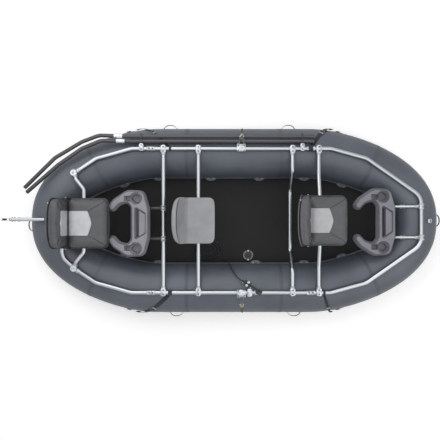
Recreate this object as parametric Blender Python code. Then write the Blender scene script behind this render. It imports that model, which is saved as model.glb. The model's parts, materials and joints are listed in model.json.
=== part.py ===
"""An inflatable fishing raft with its bolted pipe frame, seats, standing braces and anchor system.

Metres, +Z up. +X points to the bow and +Y to port. The origin is the centre of the floor's flat underside,
on the ground. Each object is one piece of the raft, and a piece that moves has its origin on its axis.
"""

import math

import bmesh
import bpy
from mathutils import Vector

# Clearances
GAP = 0.0003
OVERRUN = 0.01
SHARP_ANGLE = 35.0
CORNER_STEPS = 3

# Inflated hull tube
HULL_HALF_STRAIGHT = 0.75
HULL_HALF_WIDTH = 0.90
HULL_END_REACH = 1.193
TUBE_RADIUS = 0.24
TUBE_END_SHARE = 0.8333
BOW_RISE = 0.16
STERN_RISE = 0.14
ROCKER_START = 1.0
OUTLINE_END_POWER = 1.7
OUTLINE_SIDE_POWER = 2.25
END_SEGMENTS = 17
HULL_SIDES = 24

# Laced-in floor
FLOOR_THICKNESS = 0.13
FLOOR_EDGE_BEVEL = 0.02
FLOOR_CLEARANCE = 0.003
FLANGE_WIDTH = 0.04
FLANGE_THICKNESS = 0.005

# Floor valve
VALVE_X = 0.151
VALVE_INSET = 0.054
VALVE_RADIUS = 0.053
VALVE_HEIGHT = 0.007
VALVE_RING_WIDTH = 0.013
VALVE_BASE = 0.002
VALVE_CAP_RADIUS = 0.020
VALVE_CAP_HEIGHT = 0.010
VALVE_CAP_RIB = 0.006

# Carry handles: webbing arches on the outer side of the tube
HANDLE_SPAN = 0.118
HANDLE_REACH = 0.037
HANDLE_PAD = 0.016
HANDLE_STRAP = 0.004
HANDLE_HEIGHT = 0.028
HANDLE_STEPS = 8
HANDLE_PORT_AFT = -0.62
HANDLE_PORT_FORE = 0.54
HANDLE_STARBOARD_AFT = -0.56
HANDLE_STARBOARD_FORE = 0.595
HANDLE_STERN = -0.045
HANDLE_BOW = 0.0

# Frame pipe and its fittings
PIPE_RADIUS = 0.020
PIPE_SIDES = 10
FITTING_RADIUS = 0.026
FITTING_LENGTH = 0.052
TEE_REACH = 0.054
COUPLER_LENGTH = 0.08
COUPLER_RADIUS = 0.025
RAIL_OUTSET = 0.015
SPLICE_STERN_X = -0.780
SPLICE_SEAT_REACH = 0.077
KNEE_RADIUS = 0.15
BEND_STEPS = 3
BOW_KNEE_SEAT_REACH = 0.1104
STERN_KNEE_SPLICE_REACH = 0.183
BOW_KNEE_SHARES = ((0.638, 0.862), (0.888, 0.330))
STERN_KNEE_SHARES = ((0.667, 0.858), (0.767, 0.658))
CORNER_FITTING_RADIUS = 0.034
CORNER_FITTING_RISE = 0.040

# Crossbars
TRAY_BAR_X = -0.663
ROWER_BAR_X = -0.335
FOOT_BAR_SPLICE_REACH = 0.170
BOW_SEAT_TRAY_REACH = 0.689
FOOT_BAR_DROP = 0.18
SEAT_BAR_CREST_LIFT = 0.0156
CROSSBAR_BEND_RADIUS = 0.06
FOOT_BAR_OUTER_Y = 0.465
FOOT_BAR_INNER_Y = 0.296
SEAT_BAR_OUTER_Y = 0.425
SEAT_BAR_INNER_Y = 0.235
STERN_SEAT_BAR_SHARES = ((-0.757, 0.570), (-0.7185, 0.430))
ANCHOR_KNEE_SHARES = ((-0.8150, 0.520), (-0.8235, 0.430))
ANCHOR_RAIL_END_Y = 0.06
SOCKET_STOP = 0.026

# Folding fishing seats
SEAT_PLATE_SIZE = 0.16
SEAT_PLATE_THICKNESS = 0.006
SEAT_SADDLE_WIDTH = 0.09
SWIVEL_RADIUS = 0.055
SWIVEL_HEIGHT = 0.006
PAN_THICKNESS = 0.014
SEAT_WIDTH = 0.455
SEAT_BACK_OFFSET = 0.189
SEAT_FRONT_OFFSET = 0.246
STERN_SEAT_Y = -0.025
CUSHION_THICKNESS = 0.070
CUSHION_CROWN = 0.014
EDGE_SHARE = 0.24
SEAM_SHARE = 0.38
CROWN_SHOULDER_SHARE = 0.6
CUSHION_EDGE = 0.016
BACK_HEIGHT = 0.295
BACK_LEAN = 0.065
BACK_SHELL_THICKNESS = 0.012
BACK_CUSHION_THICKNESS = 0.046
BACK_CROWN = 0.010
BACK_CLEARANCE = 0.008
HINGE_EAR_THICKNESS = 0.005
HINGE_EAR_LENGTH = 0.05
HINGE_PIN_RADIUS = 0.005
HINGE_BOSS_RADIUS = 0.011
SEAT_CORNER_RADIUS = 0.045

# Rower's seat
ROWER_SEAT_LENGTH = 0.388
ROWER_SEAT_WIDTH = 0.42
ROWER_SEAT_CENTRE_OFFSET = -0.039
ROWER_SEAT_RISE = 0.1378
ROWER_SEAT_THICKNESS = 0.035
ROWER_LIP_HEIGHT = 0.05
ROWER_LIP_WIDTH = 0.045
ROWER_POST_WIDTH = 0.10
ROWER_POST_THICKNESS = 0.02
ROWER_POST_Y = 0.11

# Standing braces
TRAY_WIDTH = 0.60
TRAY_DEPTH = 0.370
TRAY_HEIGHT = 0.085
TRAY_OUTER_SHARES = ((0.0, 0.45), (0.12, 0.97), (0.52, 1.0), (0.86, 0.72), (1.0, 0.50))
TRAY_INNER_SHARES = ((0.90, 0.40), (0.74, 0.62), (0.50, 0.70), (0.40, 0.50))
TRAY_OUTER_RADII = (0.05, 0.05, 0.09, 0.10, 0.022)
TRAY_INNER_RADII = (0.022, 0.09, 0.06, 0.04)
TRAY_CUP_RADIUS = 0.042
TRAY_CUP_DEPTH = 0.07
TRAY_CUP_Y = 0.234
TRAY_CUP_BACK = 0.110
TRAY_SLOT_BACK = 0.160
TRAY_SLOT_LENGTH = 0.046
TRAY_SLOT_WIDTH = 0.040
TRAY_SLOT_DEPTH = 0.05
TRAY_POCKET_DEPTH = 0.055
TRAY_POCKET_BACK_WIDTH = 0.095
TRAY_POCKET_FRONT_WIDTH = 0.160
TRAY_POCKET_BACK = 0.020
TRAY_POCKET_FRONT = 0.122
TRAY_EDGE = 0.007
BOW_TRAY_KNEE_REACH = 0.2414
BOW_TRAY_RISE = 0.0978
BOW_TRAY_Y = -0.013
STERN_TRAY_BACK_X = -0.806
STERN_TRAY_Y = -0.027
STERN_TRAY_RISE = 0.0478
TRAY_ARM_RADIUS = 0.014
TRAY_ARM_Y = 0.144
TRAY_ARM_LAP = 0.10
TRAY_ARM_BEND = 0.012
TRAY_ARM_BEND_RADIUS = 0.05

# Oar stands and oarlocks
OAR_X = 0.067
STAND_BLOCK_LENGTH = 0.087
STAND_BLOCK_INNER = 0.030
STAND_BLOCK_OUTER = 0.044
STAND_LEG_RADIUS = 0.009
STAND_LEG_SPREAD = 0.028
STAND_LEG_TOP_SHARE = 0.50
STAND_SOCKET_RADIUS = 0.017
STAND_SOCKET_LENGTH = 0.06
STAND_SOCKET_OUT = 0.095
STAND_SOCKET_UP = 0.115
STAND_TILT = 10.0
OARLOCK_SHAFT_RADIUS = 0.008
OARLOCK_COLLAR_RADIUS = 0.013
OARLOCK_COLLAR_HEIGHT = 0.006
OARLOCK_HORN_RADIUS = 0.006
OARLOCK_THROAT = 0.031
OARLOCK_HEIGHT = 0.085
OARLOCK_TAIL = 0.009
OARLOCK_NUT_RADIUS = 0.0088

# Anchor arm
ARM_RADIUS = 0.016
ARM_OVERHANG = 0.217
ARM_SOCKET_INSET = 0.183
ARM_Y = 0.01
ARM_CLAMP_RADIUS = 0.027
ARM_CLAMP_LENGTH = 0.05
ARM_SOCKET_RADIUS = 0.022
CHEEK_LENGTH = 0.085
CHEEK_HEIGHT = 0.045
CHEEK_THICKNESS = 0.004
ANCHOR_SHEAVE_RADIUS = 0.026
ANCHOR_SHEAVE_WIDTH = 0.014
AXLE_RADIUS = 0.004
GROOVE_DEPTH = 0.006

# Deck pulley and cam cleat on the starboard rail
CLEAT_X = 0.125
DECK_SHEAVE_RADIUS = 0.016
DECK_SHEAVE_WIDTH = 0.014
CLEAT_LENGTH = 0.10
CLEAT_WIDTH = 0.05
CLEAT_THICKNESS = 0.010
CLEAT_INBOARD = 0.085
CLEAT_TURN = -31.0
CLEAT_CLAMP_SHIFT = 0.02
DECK_LIFT = 0.002
DECK_PULLEY_REACH = 0.115
FAIRLEAD_LENGTH = 0.02
FAIRLEAD_RADIUS = 0.009
CAM_RADIUS = 0.012
CAM_HEIGHT = 0.014
CAM_CLEARANCE = 0.0006
CAM_PIN_RADIUS = 0.003

# Rod holder on the port rail
ROD_TUBE_RADIUS = 0.020
ROD_BORE_RADIUS = 0.0165
ROD_RAIL_REACH = 0.070
ROD_SPACING = 0.045
ROD_TUBE_AFT_X = -0.977
ROD_TUBE_SPLICE_REACH = 0.018
ROD_MOUTH_LENGTH = 0.05
ROD_MOUTH_FLARE = 0.0015
ROD_TIP_WALL = 0.003
ROD_TIP_LAP = 0.04
ROD_COUPLER_LENGTH = 0.08
ROD_COUPLER_OUTER_X = -1.087
ROD_COUPLER_INNER_X = -1.066
ROD_CLAMP_AFT_X = -0.868
ROD_CLAMP_SPLICE_REACH = 0.078
ROD_CLAMP_THICKNESS = 0.014
ROD_CLAMP_WALL = 0.006
ROD_OUTER_KNEE_SHARES = ((-0.652, 1.012), (-0.735, 0.935), (-0.865, 0.745), (-1.014, 0.385))
ROD_INNER_KNEE_SHARES = ((-0.642, 1.008), (-0.735, 0.908), (-0.848, 0.705), (-1.004, 0.350))
ROD_BEND_RADIUS = 0.16
ROD_SIDES = 8

# Tie-down straps
STRAP_THICKNESS = 0.003
STRAP_WIDE = 0.038
STRAP_NARROW = 0.022
STRAP_STEPS = 8
STRAP_START = -8.0
STRAP_LEAVE = 81.0
STRAP_WRAP_START = -25.0
STRAP_WRAP_END = 205.0
STRAP_FOOT_AFT = -0.954
STRAP_FOOT_SEAT_REACH = 0.18
STRAP_RAIL_AFT = -0.60
STRAP_SPLICE_REACH = 0.002
STRAP_SEAT_REACH = 0.05

# Anchor rope
ROPE_RADIUS = 0.005
ROPE_SPACING = 0.022
ROUTE_STEPS = 40
ROPE_ROUTE = ((0.044, -0.545, 0.518), (0.002, -0.495, 0.455), (-0.034, -0.436, 0.372), (-0.052, -0.402, 0.27),
              (-0.066, -0.386, 0.180), (-0.100, -0.390, 0.141))
COIL_LOOPS = 3
COIL_POINTS = 24
COIL_OUTER_RADIUS = 0.105
COIL_PITCH = 0.021
COIL_STRETCH = 1.5
COIL_CLEARANCE = 0.001
COIL_START_TURN = -80.0
COIL_X = -0.25
COIL_Y = -0.285
MILLIMETRE = 0.001

FLAT_SHARE = math.cos(math.pi / HULL_SIDES)
TUBE_END_RADIUS = TUBE_END_SHARE * TUBE_RADIUS
HULL_TIP_X = HULL_HALF_STRAIGHT + HULL_END_REACH
CENTRE_TIP_X = HULL_TIP_X - TUBE_END_RADIUS
RAIL_Y = HULL_HALF_WIDTH - TUBE_RADIUS + RAIL_OUTSET
RAIL_Z = 2 * TUBE_RADIUS * FLAT_SHARE + GAP + FITTING_RADIUS
SEAT_BAR_Z = STERN_RISE + 2 * TUBE_END_RADIUS * FLAT_SHARE + SEAT_BAR_CREST_LIFT
ROWER_SEAT_TOP = RAIL_Z + ROWER_SEAT_RISE
ROD_INNER_Y = RAIL_Y + ROD_RAIL_REACH
ROD_OUTER_Y = ROD_INNER_Y + ROD_SPACING
BOW_TRAY_TOP = RAIL_Z + BOW_TRAY_RISE
STERN_TRAY_TOP = RAIL_Z + STERN_TRAY_RISE
BORE_RADIUS = PIPE_RADIUS + GAP
DECK_TOP = RAIL_Z + FITTING_RADIUS + DECK_LIFT
BOW_TRAY_BACK_X = BOW_KNEE_SHARES[-1][0] * HULL_TIP_X - BOW_TRAY_KNEE_REACH
BOW_SEAT_BAR_X = BOW_TRAY_BACK_X - BOW_SEAT_TRAY_REACH
SPLICE_BOW_X = BOW_SEAT_BAR_X - SPLICE_SEAT_REACH
FOOT_BAR_X = SPLICE_BOW_X - FOOT_BAR_SPLICE_REACH
ROD_TUBE_FORE_X = SPLICE_BOW_X - ROD_TUBE_SPLICE_REACH
ROD_CLAMP_FORE_X = SPLICE_BOW_X - ROD_CLAMP_SPLICE_REACH
STRAP_RAIL_PORT_FORE = SPLICE_BOW_X + STRAP_SPLICE_REACH
STRAP_RAIL_STARBOARD_FORE = BOW_SEAT_BAR_X + STRAP_SEAT_REACH
STRAP_FOOT_FORE = BOW_SEAT_BAR_X + STRAP_FOOT_SEAT_REACH
ARM_END_X = -HULL_TIP_X - ARM_OVERHANG
ARM_SOCKET_END_X = -HULL_TIP_X + ARM_SOCKET_INSET

# Colour, roughness and metallic value of each finish
FINISHES = {
    "hull_fabric": ((0.091, 0.095, 0.107), 0.55, 0.0),
    "floor_fabric": ((0.017, 0.019, 0.019), 0.75, 0.0),
    "flange_fabric": ((0.102, 0.107, 0.117), 0.6, 0.0),
    "webbing": ((0.30, 0.31, 0.33), 0.7, 0.0),
    "black_webbing": ((0.011, 0.012, 0.013), 0.85, 0.0),
    "bright_aluminium": ((0.74, 0.76, 0.79), 0.28, 1.0),
    "cast_aluminium": ((0.68, 0.70, 0.73), 0.42, 1.0),
    "black_metal": ((0.02, 0.02, 0.022), 0.4, 0.6),
    "black_plastic": ((0.018, 0.018, 0.02), 0.45, 0.0),
    "rod_plastic": ((0.042, 0.042, 0.05), 0.25, 0.0),
    "seat_vinyl": ((0.085, 0.087, 0.092), 0.6, 0.0),
    "seat_plastic": ((0.05, 0.051, 0.054), 0.5, 0.0),
    "rower_plastic": ((0.325, 0.332, 0.342), 0.55, 0.0),
    "tray_plastic": ((0.37, 0.365, 0.41), 0.5, 0.0),
    "brass": ((0.43, 0.32, 0.14), 0.35, 1.0),
    "valve_plastic": ((0.55, 0.55, 0.56), 0.45, 0.0),
    "rope": ((0.012, 0.012, 0.013), 0.9, 0.0),
}


def finish_of(name, finish):
    """The piece's own material, with the colour and surface of its finish."""
    color, roughness, metallic = FINISHES[finish]
    made = bpy.data.materials.new(f"{name}_{finish}")
    made.use_nodes = True
    shader = made.node_tree.nodes["Principled BSDF"]
    shader.inputs["Base Color"].default_value = (*color, 1.0)
    shader.inputs["Roughness"].default_value = roughness
    shader.inputs["Metallic"].default_value = metallic
    return made


def piece(name, shape, finish, origin=(0.0, 0.0, 0.0), parent=None):
    """An object from a bmesh in world coordinates, with its own origin and material."""
    bmesh.ops.translate(shape, vec=-Vector(origin), verts=shape.verts)
    mesh = bpy.data.meshes.new(name)
    shape.to_mesh(mesh)
    shape.free()
    mesh.shade_smooth()
    mesh.set_sharp_from_angle(angle=math.radians(SHARP_ANGLE))
    made = bpy.data.objects.new(name, mesh)
    made.data.materials.append(finish_of(name, finish))
    bpy.context.scene.collection.objects.link(made)
    made.location = origin
    if parent:
        made.parent = parent
        made.location = Vector(origin) - parent.location
    return made


def axis_empty(name, location, parent=None):
    """An empty on a joint's axis, which the moving pieces hang from."""
    made = bpy.data.objects.new(name, None)
    bpy.context.scene.collection.objects.link(made)
    made.location = location
    if parent:
        made.parent = parent
        made.location = Vector(location) - parent.location
    return made


def shape_tool(target, shape, operation):
    """Joins a shape to an object, or cuts it out, with a Boolean modifier."""
    mesh = bpy.data.meshes.new(f"{target.name}_tool")
    shape.to_mesh(mesh)
    shape.free()
    tool = bpy.data.objects.new(f"{target.name}_tool", mesh)
    bpy.context.scene.collection.objects.link(tool)
    tool.hide_render = True
    tool.display_type = "WIRE"
    modifier = target.modifiers.new(operation.title(), "BOOLEAN")
    modifier.operation = operation
    modifier.solver = "EXACT"
    modifier.object = tool


def join(target, *shapes):
    for shape in shapes:
        shape_tool(target, shape, "UNION")


def cut(target, *shapes):
    for shape in shapes:
        shape_tool(target, shape, "DIFFERENCE")


def loft(rings, looped=False):
    """A closed mesh through rings of points, capped at both ends or looped into a ring."""
    shape = bmesh.new()
    loops = [[shape.verts.new(point) for point in ring] for ring in rings]
    pairs = list(zip(loops, loops[1:]))
    if looped:
        pairs.append((loops[-1], loops[0]))
    else:
        shape.faces.new(loops[0])
        shape.faces.new(loops[-1])
    for first, second in pairs:
        for here in range(len(first)):
            after = (here + 1) % len(first)
            shape.faces.new((first[here], first[after], second[after], second[here]))
    bmesh.ops.recalc_face_normals(shape, faces=shape.faces)
    return shape


def circle(radius, sides):
    """Points round a circle, as (sideways, upward), with one at the top and one at the bottom."""
    turns = [2 * math.pi * side / sides for side in range(sides)]
    return [(radius * math.cos(turn), radius * math.sin(turn)) for turn in turns]


def rectangle(width, height):
    """Corners of a rectangle round its centre, as (sideways, upward)."""
    half, rise = width / 2, height / 2
    return [(-half, -rise), (half, -rise), (half, rise), (-half, rise)]


def rounded_outline(corners, radius, steps=CORNER_STEPS):
    """A flat outline with each corner turned into an arc; radius is one size or one for each corner."""
    outline = []
    radii = radius if isinstance(radius, (list, tuple)) else [radius] * len(corners)
    for index, corner in enumerate(corners):
        before = Vector(corners[index - 1]) - Vector(corner)
        after = Vector(corners[(index + 1) % len(corners)]) - Vector(corner)
        outline += corner_arc(Vector(corner), before, after, radii[index], steps)
    return [tuple(point) for point in outline]


def corner_arc(corner, before, after, radius, steps):
    """Points of the arc that rounds one corner, given the two sides that leave it."""
    if radius <= 0:
        return [corner]
    half = before.angle(after) / 2
    if half > math.pi / 2 - 1e-4:
        return [corner]
    reach = min(radius / math.tan(half), before.length / 2, after.length / 2)
    fitted = reach * math.tan(half)
    middle = (before.normalized() + after.normalized()).normalized()
    centre = corner + middle * (fitted / math.sin(half))
    start = corner + before.normalized() * reach - centre
    end = corner + after.normalized() * reach - centre
    turn = start.angle(end)
    points = []
    for step in range(steps + 1):
        share = step / steps
        near = math.sin((1 - share) * turn) / math.sin(turn)
        far = math.sin(share * turn) / math.sin(turn)
        points.append(centre + start * near + end * far)
    return points


def rounded_path(points, radius, steps=BEND_STEPS):
    """An open path with each inner corner bent to an arc, as a pipe is."""
    corners = [Vector(point) for point in points]
    path = [corners[0]]
    for before, corner, after in zip(corners, corners[1:], corners[2:]):
        path += corner_arc(corner, before - corner, after - corner, radius, steps)
    return path + [corners[-1]]


def swept(path, profile, up=(0.0, 0.0, 1.0), looped=False):
    """A profile swept along a path, kept square to it, with its upward side towards up."""
    path = [Vector(point) for point in path]
    rings = []
    for index, point in enumerate(path):
        before = path[index - 1] if index or looped else point
        after = path[(index + 1) % len(path)] if index + 1 < len(path) or looped else point
        along = (after - point).normalized() + (point - before).normalized()
        along.normalize()
        side = along.cross(Vector(up)).normalized()
        rise = side.cross(along)
        rings.append([point + side * across + rise * upward for across, upward in profile])
    return loft(rings, looped)


def pipe(path, radius=PIPE_RADIUS, sides=PIPE_SIDES, up=(0.0, 0.0, 1.0)):
    """A round bar or pipe along a path."""
    return swept(path, circle(radius, sides), up)


def turned(start, along, profile, sides=PIPE_SIDES, up=(0.0, 0.0, 1.0), looped=False):
    """A turned shape: profile holds (distance along the axis, radius) pairs."""
    start, along = Vector(start), Vector(along).normalized()
    side = along.cross(Vector(up)).normalized()
    rise = side.cross(along)
    rings = []
    for distance, radius in profile:
        centre = start + along * distance
        rings.append([centre + side * across + rise * upward for across, upward in circle(radius, sides)])
    return loft(rings, looped)


def washer(start, along, profile, sides=PIPE_SIDES, up=(0.0, 0.0, 1.0)):
    """A turned shape with an open bore: the profile runs round its closed section."""
    return turned(start, along, profile, sides, up, looped=True)


def slab(outline, low, high):
    """A flat outline in X and Y raised from one height to another."""
    return loft([[(x, y, low) for x, y in outline], [(x, y, high) for x, y in outline]])


def block(low, high):
    """A box between two corners."""
    outline = [(low[0], low[1]), (high[0], low[1]), (high[0], high[1]), (low[0], high[1])]
    return slab(outline, low[2], high[2])


def mirrored(points):
    """The same points on the other side of the hull's centre plane."""
    return [(x, -y, z) for x, y, z in points]


def rocker_share(x):
    """How far the tube has risen and narrowed towards its end, from 0 to 1, at a place along its centre."""
    share = (abs(x) - ROCKER_START) / (CENTRE_TIP_X - ROCKER_START)
    return min(max(share, 0.0), 1.0) ** 2


def tube_radius(x):
    return TUBE_RADIUS + (TUBE_END_RADIUS - TUBE_RADIUS) * rocker_share(x)


def tube_bottom(x):
    return (BOW_RISE if x > 0 else STERN_RISE) * rocker_share(x)


def crest(x):
    """Height of the flat along the top of the tube."""
    return tube_bottom(x) + 2 * tube_radius(x) * FLAT_SHARE


def end_outline():
    """Places on the hull's outer edge from port round one end to starboard, evenly spaced, with normals."""
    fine = 40 * END_SEGMENTS
    points = []
    for step in range(fine + 1):
        turn = math.pi / 2 - math.pi * step / fine
        reach = abs(math.cos(turn)) ** (2 / OUTLINE_END_POWER)
        side = abs(math.sin(turn)) ** (2 / OUTLINE_SIDE_POWER)
        points.append((reach, math.copysign(side, turn)))
    lengths = [0.0]
    for (u, v), (next_u, next_v) in zip(points, points[1:]):
        stretch = math.hypot((next_u - u) * HULL_END_REACH, (next_v - v) * HULL_HALF_WIDTH)
        lengths.append(lengths[-1] + stretch)
    outline = []
    for segment in range(END_SEGMENTS + 1):
        wanted = lengths[-1] * segment / END_SEGMENTS
        nearest = min(range(fine + 1), key=lambda index: abs(lengths[index] - wanted))
        u, v = points[nearest]
        ahead = OUTLINE_END_POWER * max(u, 0.0) ** (OUTLINE_END_POWER - 1) / HULL_END_REACH
        aside = OUTLINE_SIDE_POWER * abs(v) ** (OUTLINE_SIDE_POWER - 1) / HULL_HALF_WIDTH
        length = math.hypot(ahead, aside)
        place = (HULL_HALF_STRAIGHT + u * HULL_END_REACH, v * HULL_HALF_WIDTH)
        outline.append((*place, ahead / length, math.copysign(aside, v) / length))
    return outline


def tube_stations():
    """Centres, normals and sizes of the tube all the way round, clockwise from the bow's port side."""
    bow = end_outline()
    stern = [(-x, y, -nx, ny) for x, y, nx, ny in reversed(bow)]
    stations = []
    for x, y, nx, ny in bow + stern:
        radius = TUBE_RADIUS
        for _ in range(CORNER_STEPS):
            radius = tube_radius(x - nx * radius)
        centre_x = x - nx * radius
        stations.append((centre_x, y - ny * radius, nx, ny, radius, tube_bottom(centre_x)))
    return stations


def station_ring(station, profile):
    """Points at one station from (outward, height above the tube's bottom) pairs."""
    x, y, nx, ny, _, bottom = station
    return [(x + nx * out, y + ny * out, bottom + height) for out, height in profile]


def tube_profile(radius):
    """The tube's round section, with flats at its top, its bottom and its two sides."""
    section = []
    for side in range(HULL_SIDES):
        turn = 2 * math.pi * (side + 1 / 2) / HULL_SIDES
        section.append((radius * math.cos(turn), radius * (math.sin(turn) + FLAT_SHARE)))
    return section


def tube_inset(radius, height):
    """How far the tube's inner side lies from its centre line at a height above its bottom."""
    return math.sqrt(radius**2 - (radius * FLAT_SHARE - height) ** 2)


def make_hull_tube(stations):
    rings = [station_ring(station, tube_profile(station[4])) for station in stations]
    return piece("hull_tube", loft(rings, looped=True), "hull_fabric")


def floor_half_sections(stations):
    """The floor's edge points along its port side from stern to bow, as (x, half width, bottom)."""
    half = len(stations) // 2
    bow = stations[: END_SEGMENTS // 2 + 1]
    stern = stations[half:][END_SEGMENTS // 2 + 1:]
    sections = []
    for x, y, nx, ny, radius, bottom in stern + bow:
        inset = tube_inset(radius, FLOOR_THICKNESS) + FLOOR_CLEARANCE
        sections.append((x - nx * inset, abs(y - ny * inset), bottom))
    return sections


def make_floor(stations):
    """The drop-stitch floor: flat across, with bevelled edges, rising at both ends with the tube."""
    bevel = FLOOR_EDGE_BEVEL
    rings = []
    for x, half, bottom in floor_half_sections(stations):
        top = bottom + FLOOR_THICKNESS
        narrow = half - min(bevel, half / 2)
        port = [(half, bottom + bevel), (half, top - bevel), (narrow, top)]
        starboard = [(-narrow, top), (-half, top - bevel), (-half, bottom + bevel)]
        section = [(narrow, bottom)] + port + starboard + [(-narrow, bottom)]
        rings.append([(x, y, z) for y, z in section])
    return piece("floor", loft(rings), "floor_fabric")


def make_lacing_flange(stations):
    """The strip that laces the floor's edge to the tube, all the way round."""
    low = FLOOR_THICKNESS + GAP
    rings = []
    for station in stations:
        outer = -tube_inset(station[4], low + FLANGE_THICKNESS) - GAP
        inner = outer - FLANGE_WIDTH
        section = [(outer, low), (outer, low + FLANGE_THICKNESS), (inner, low + FLANGE_THICKNESS), (inner, low)]
        rings.append(station_ring(station, section))
    return piece("lacing_flange", loft(rings, looped=True), "flange_fabric")


def make_floor_valve():
    """The valve in the floor: a ring round a shallow dish, and a cap that turns in it."""
    inner_edge = TUBE_RADIUS + tube_inset(TUBE_RADIUS, FLOOR_THICKNESS) + FLOOR_CLEARANCE
    y = -(HULL_HALF_WIDTH - inner_edge - FLANGE_WIDTH - VALVE_INSET)
    low = FLOOR_THICKNESS + GAP
    dish = VALVE_RADIUS - VALVE_RING_WIDTH
    profile = [(0.0, VALVE_RADIUS), (VALVE_HEIGHT, VALVE_RADIUS), (VALVE_HEIGHT, dish), (VALVE_BASE, dish)]
    up = (1.0, 0.0, 0.0)
    body = turned((VALVE_X, y, low), (0, 0, 1), profile, 2 * PIPE_SIDES, up)
    piece("floor_valve", body, "valve_plastic")
    cap_low = (VALVE_X, y, low + VALVE_BASE + GAP)
    disc = [(0.0, VALVE_CAP_RADIUS), (VALVE_CAP_HEIGHT, VALVE_CAP_RADIUS)]
    cap = turned(cap_low, (0, 0, 1), disc, PIPE_SIDES, up)
    made = piece("floor_valve_cap", cap, "black_plastic", cap_low)
    rib_top = cap_low[2] + VALVE_CAP_HEIGHT + VALVE_CAP_RIB
    half, thin = VALVE_CAP_RADIUS - GAP, VALVE_CAP_RIB / 2
    join(made, block((VALVE_X - half, y - thin, rib_top - VALVE_CAP_HEIGHT), (VALVE_X + half, y + thin, rib_top)))


def edge_reach(stations, outward, aside):
    """How far out the tube's side flat lies, along one direction, at a place beside the hull's centre."""
    outward = Vector(outward)
    tangent = Vector((-outward.y, outward.x))
    edge = []
    for x, y, nx, ny, radius, _ in stations:
        edge.append(Vector((x + nx * radius * FLAT_SHARE, y + ny * radius * FLAT_SHARE)))
    reaches = []
    for here, there in zip(edge, edge[1:] + edge[:1]):
        start, end = here.dot(tangent), there.dot(tangent)
        if min(start, end) <= aside <= max(start, end) and start != end:
            share = (aside - start) / (end - start)
            reaches.append(here.dot(outward) * (1 - share) + there.dot(outward) * share)
    return max(reaches)


def make_handle(name, stations, outward, aside):
    """A webbing handle: two pads on the tube's side flat with an arch between them."""
    end = outward[0] != 0
    height = crest(CENTRE_TIP_X * outward[0]) - TUBE_END_RADIUS * FLAT_SHARE if end else TUBE_RADIUS * FLAT_SHARE
    tangent = Vector((-outward[1], outward[0]))
    half = HANDLE_SPAN / 2
    places = [(-half - HANDLE_PAD, 0.0)]
    for step in range(HANDLE_STEPS + 1):
        turn = math.pi * step / HANDLE_STEPS
        places.append((-half * math.cos(turn), HANDLE_REACH * math.sin(turn)))
    places.append((half + HANDLE_PAD, 0.0))
    foot = (edge_reach(stations, outward, aside - half), edge_reach(stations, outward, aside + half))
    path = []
    for along, reach in places:
        share = (along + half) / HANDLE_SPAN
        base = foot[0] * (1 - share) + foot[1] * share
        if abs(along) >= half:
            base = edge_reach(stations, outward, aside + along)
        out = base + GAP + HANDLE_STRAP / 2 + reach
        path.append((*(Vector(outward) * out + tangent * (aside + along)), height))
    piece(name, swept(path, rectangle(HANDLE_STRAP, HANDLE_HEIGHT)), "webbing")


def make_handles(stations):
    make_handle("carry_handle_port_aft", stations, (0.0, 1.0), -HANDLE_PORT_AFT)
    make_handle("carry_handle_port_fore", stations, (0.0, 1.0), -HANDLE_PORT_FORE)
    make_handle("carry_handle_starboard_aft", stations, (0.0, -1.0), HANDLE_STARBOARD_AFT)
    make_handle("carry_handle_starboard_fore", stations, (0.0, -1.0), HANDLE_STARBOARD_FORE)
    make_handle("carry_handle_bow", stations, (1.0, 0.0), HANDLE_BOW)
    make_handle("carry_handle_stern", stations, (-1.0, 0.0), -HANDLE_STERN)


def rail_point(x, y):
    """A place on a rail's centre line, at the height that rests its fittings on the tube."""
    return (x, y, crest(x + math.copysign(FITTING_RADIUS, x)) + GAP + FITTING_RADIUS)


def bow_rail_path():
    """The bow rail from its port splice round the bow to the starboard splice."""
    port = [rail_point(SPLICE_BOW_X + GAP, RAIL_Y), rail_point(BOW_SEAT_BAR_X + BOW_KNEE_SEAT_REACH, RAIL_Y)]
    for along, across in BOW_KNEE_SHARES:
        port.append(rail_point(along * HULL_TIP_X, across * RAIL_Y))
    bends = rounded_path(port[:-1] + [port[-1], (port[-1][0], 0.0, port[-1][2])], KNEE_RADIUS)
    return bends[:-1] + mirrored(reversed(bends[:-1]))


def stern_rail_path():
    path = [rail_point(SPLICE_STERN_X - GAP, RAIL_Y), rail_point(SPLICE_STERN_X - STERN_KNEE_SPLICE_REACH, RAIL_Y)]
    for along, across in STERN_KNEE_SHARES:
        path.append(rail_point(-along * HULL_TIP_X, across * RAIL_Y))
    return path


def seat_bar_path():
    """The stern seat bar from its port corner fitting to the starboard one."""
    start = stern_rail_path()[-1]
    port = [start]
    for along, across in STERN_SEAT_BAR_SHARES:
        port.append((along * HULL_TIP_X, across * RAIL_Y, SEAT_BAR_Z))
    bends = rounded_path(port + [(port[-1][0], 0.0, SEAT_BAR_Z)], CROSSBAR_BEND_RADIUS)
    return bends[:-1] + mirrored(reversed(bends[:-1]))


def anchor_rail_path():
    """The starboard stern rail, which runs on past its corner fitting to carry the anchor arm."""
    path = mirrored(stern_rail_path())
    for along, across in ANCHOR_KNEE_SHARES:
        path.append((along * HULL_TIP_X, -across * RAIL_Y, SEAT_BAR_Z))
    path.append((path[-1][0], ANCHOR_RAIL_END_Y, SEAT_BAR_Z))
    return path


def trimmed(path, start, end):
    """A path with a length taken off each end."""
    first = (Vector(path[1]) - Vector(path[0])).normalized()
    last = (Vector(path[-2]) - Vector(path[-1])).normalized()
    return [Vector(path[0]) + first * start] + list(path[1:-1]) + [Vector(path[-1]) + last * end]


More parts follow.
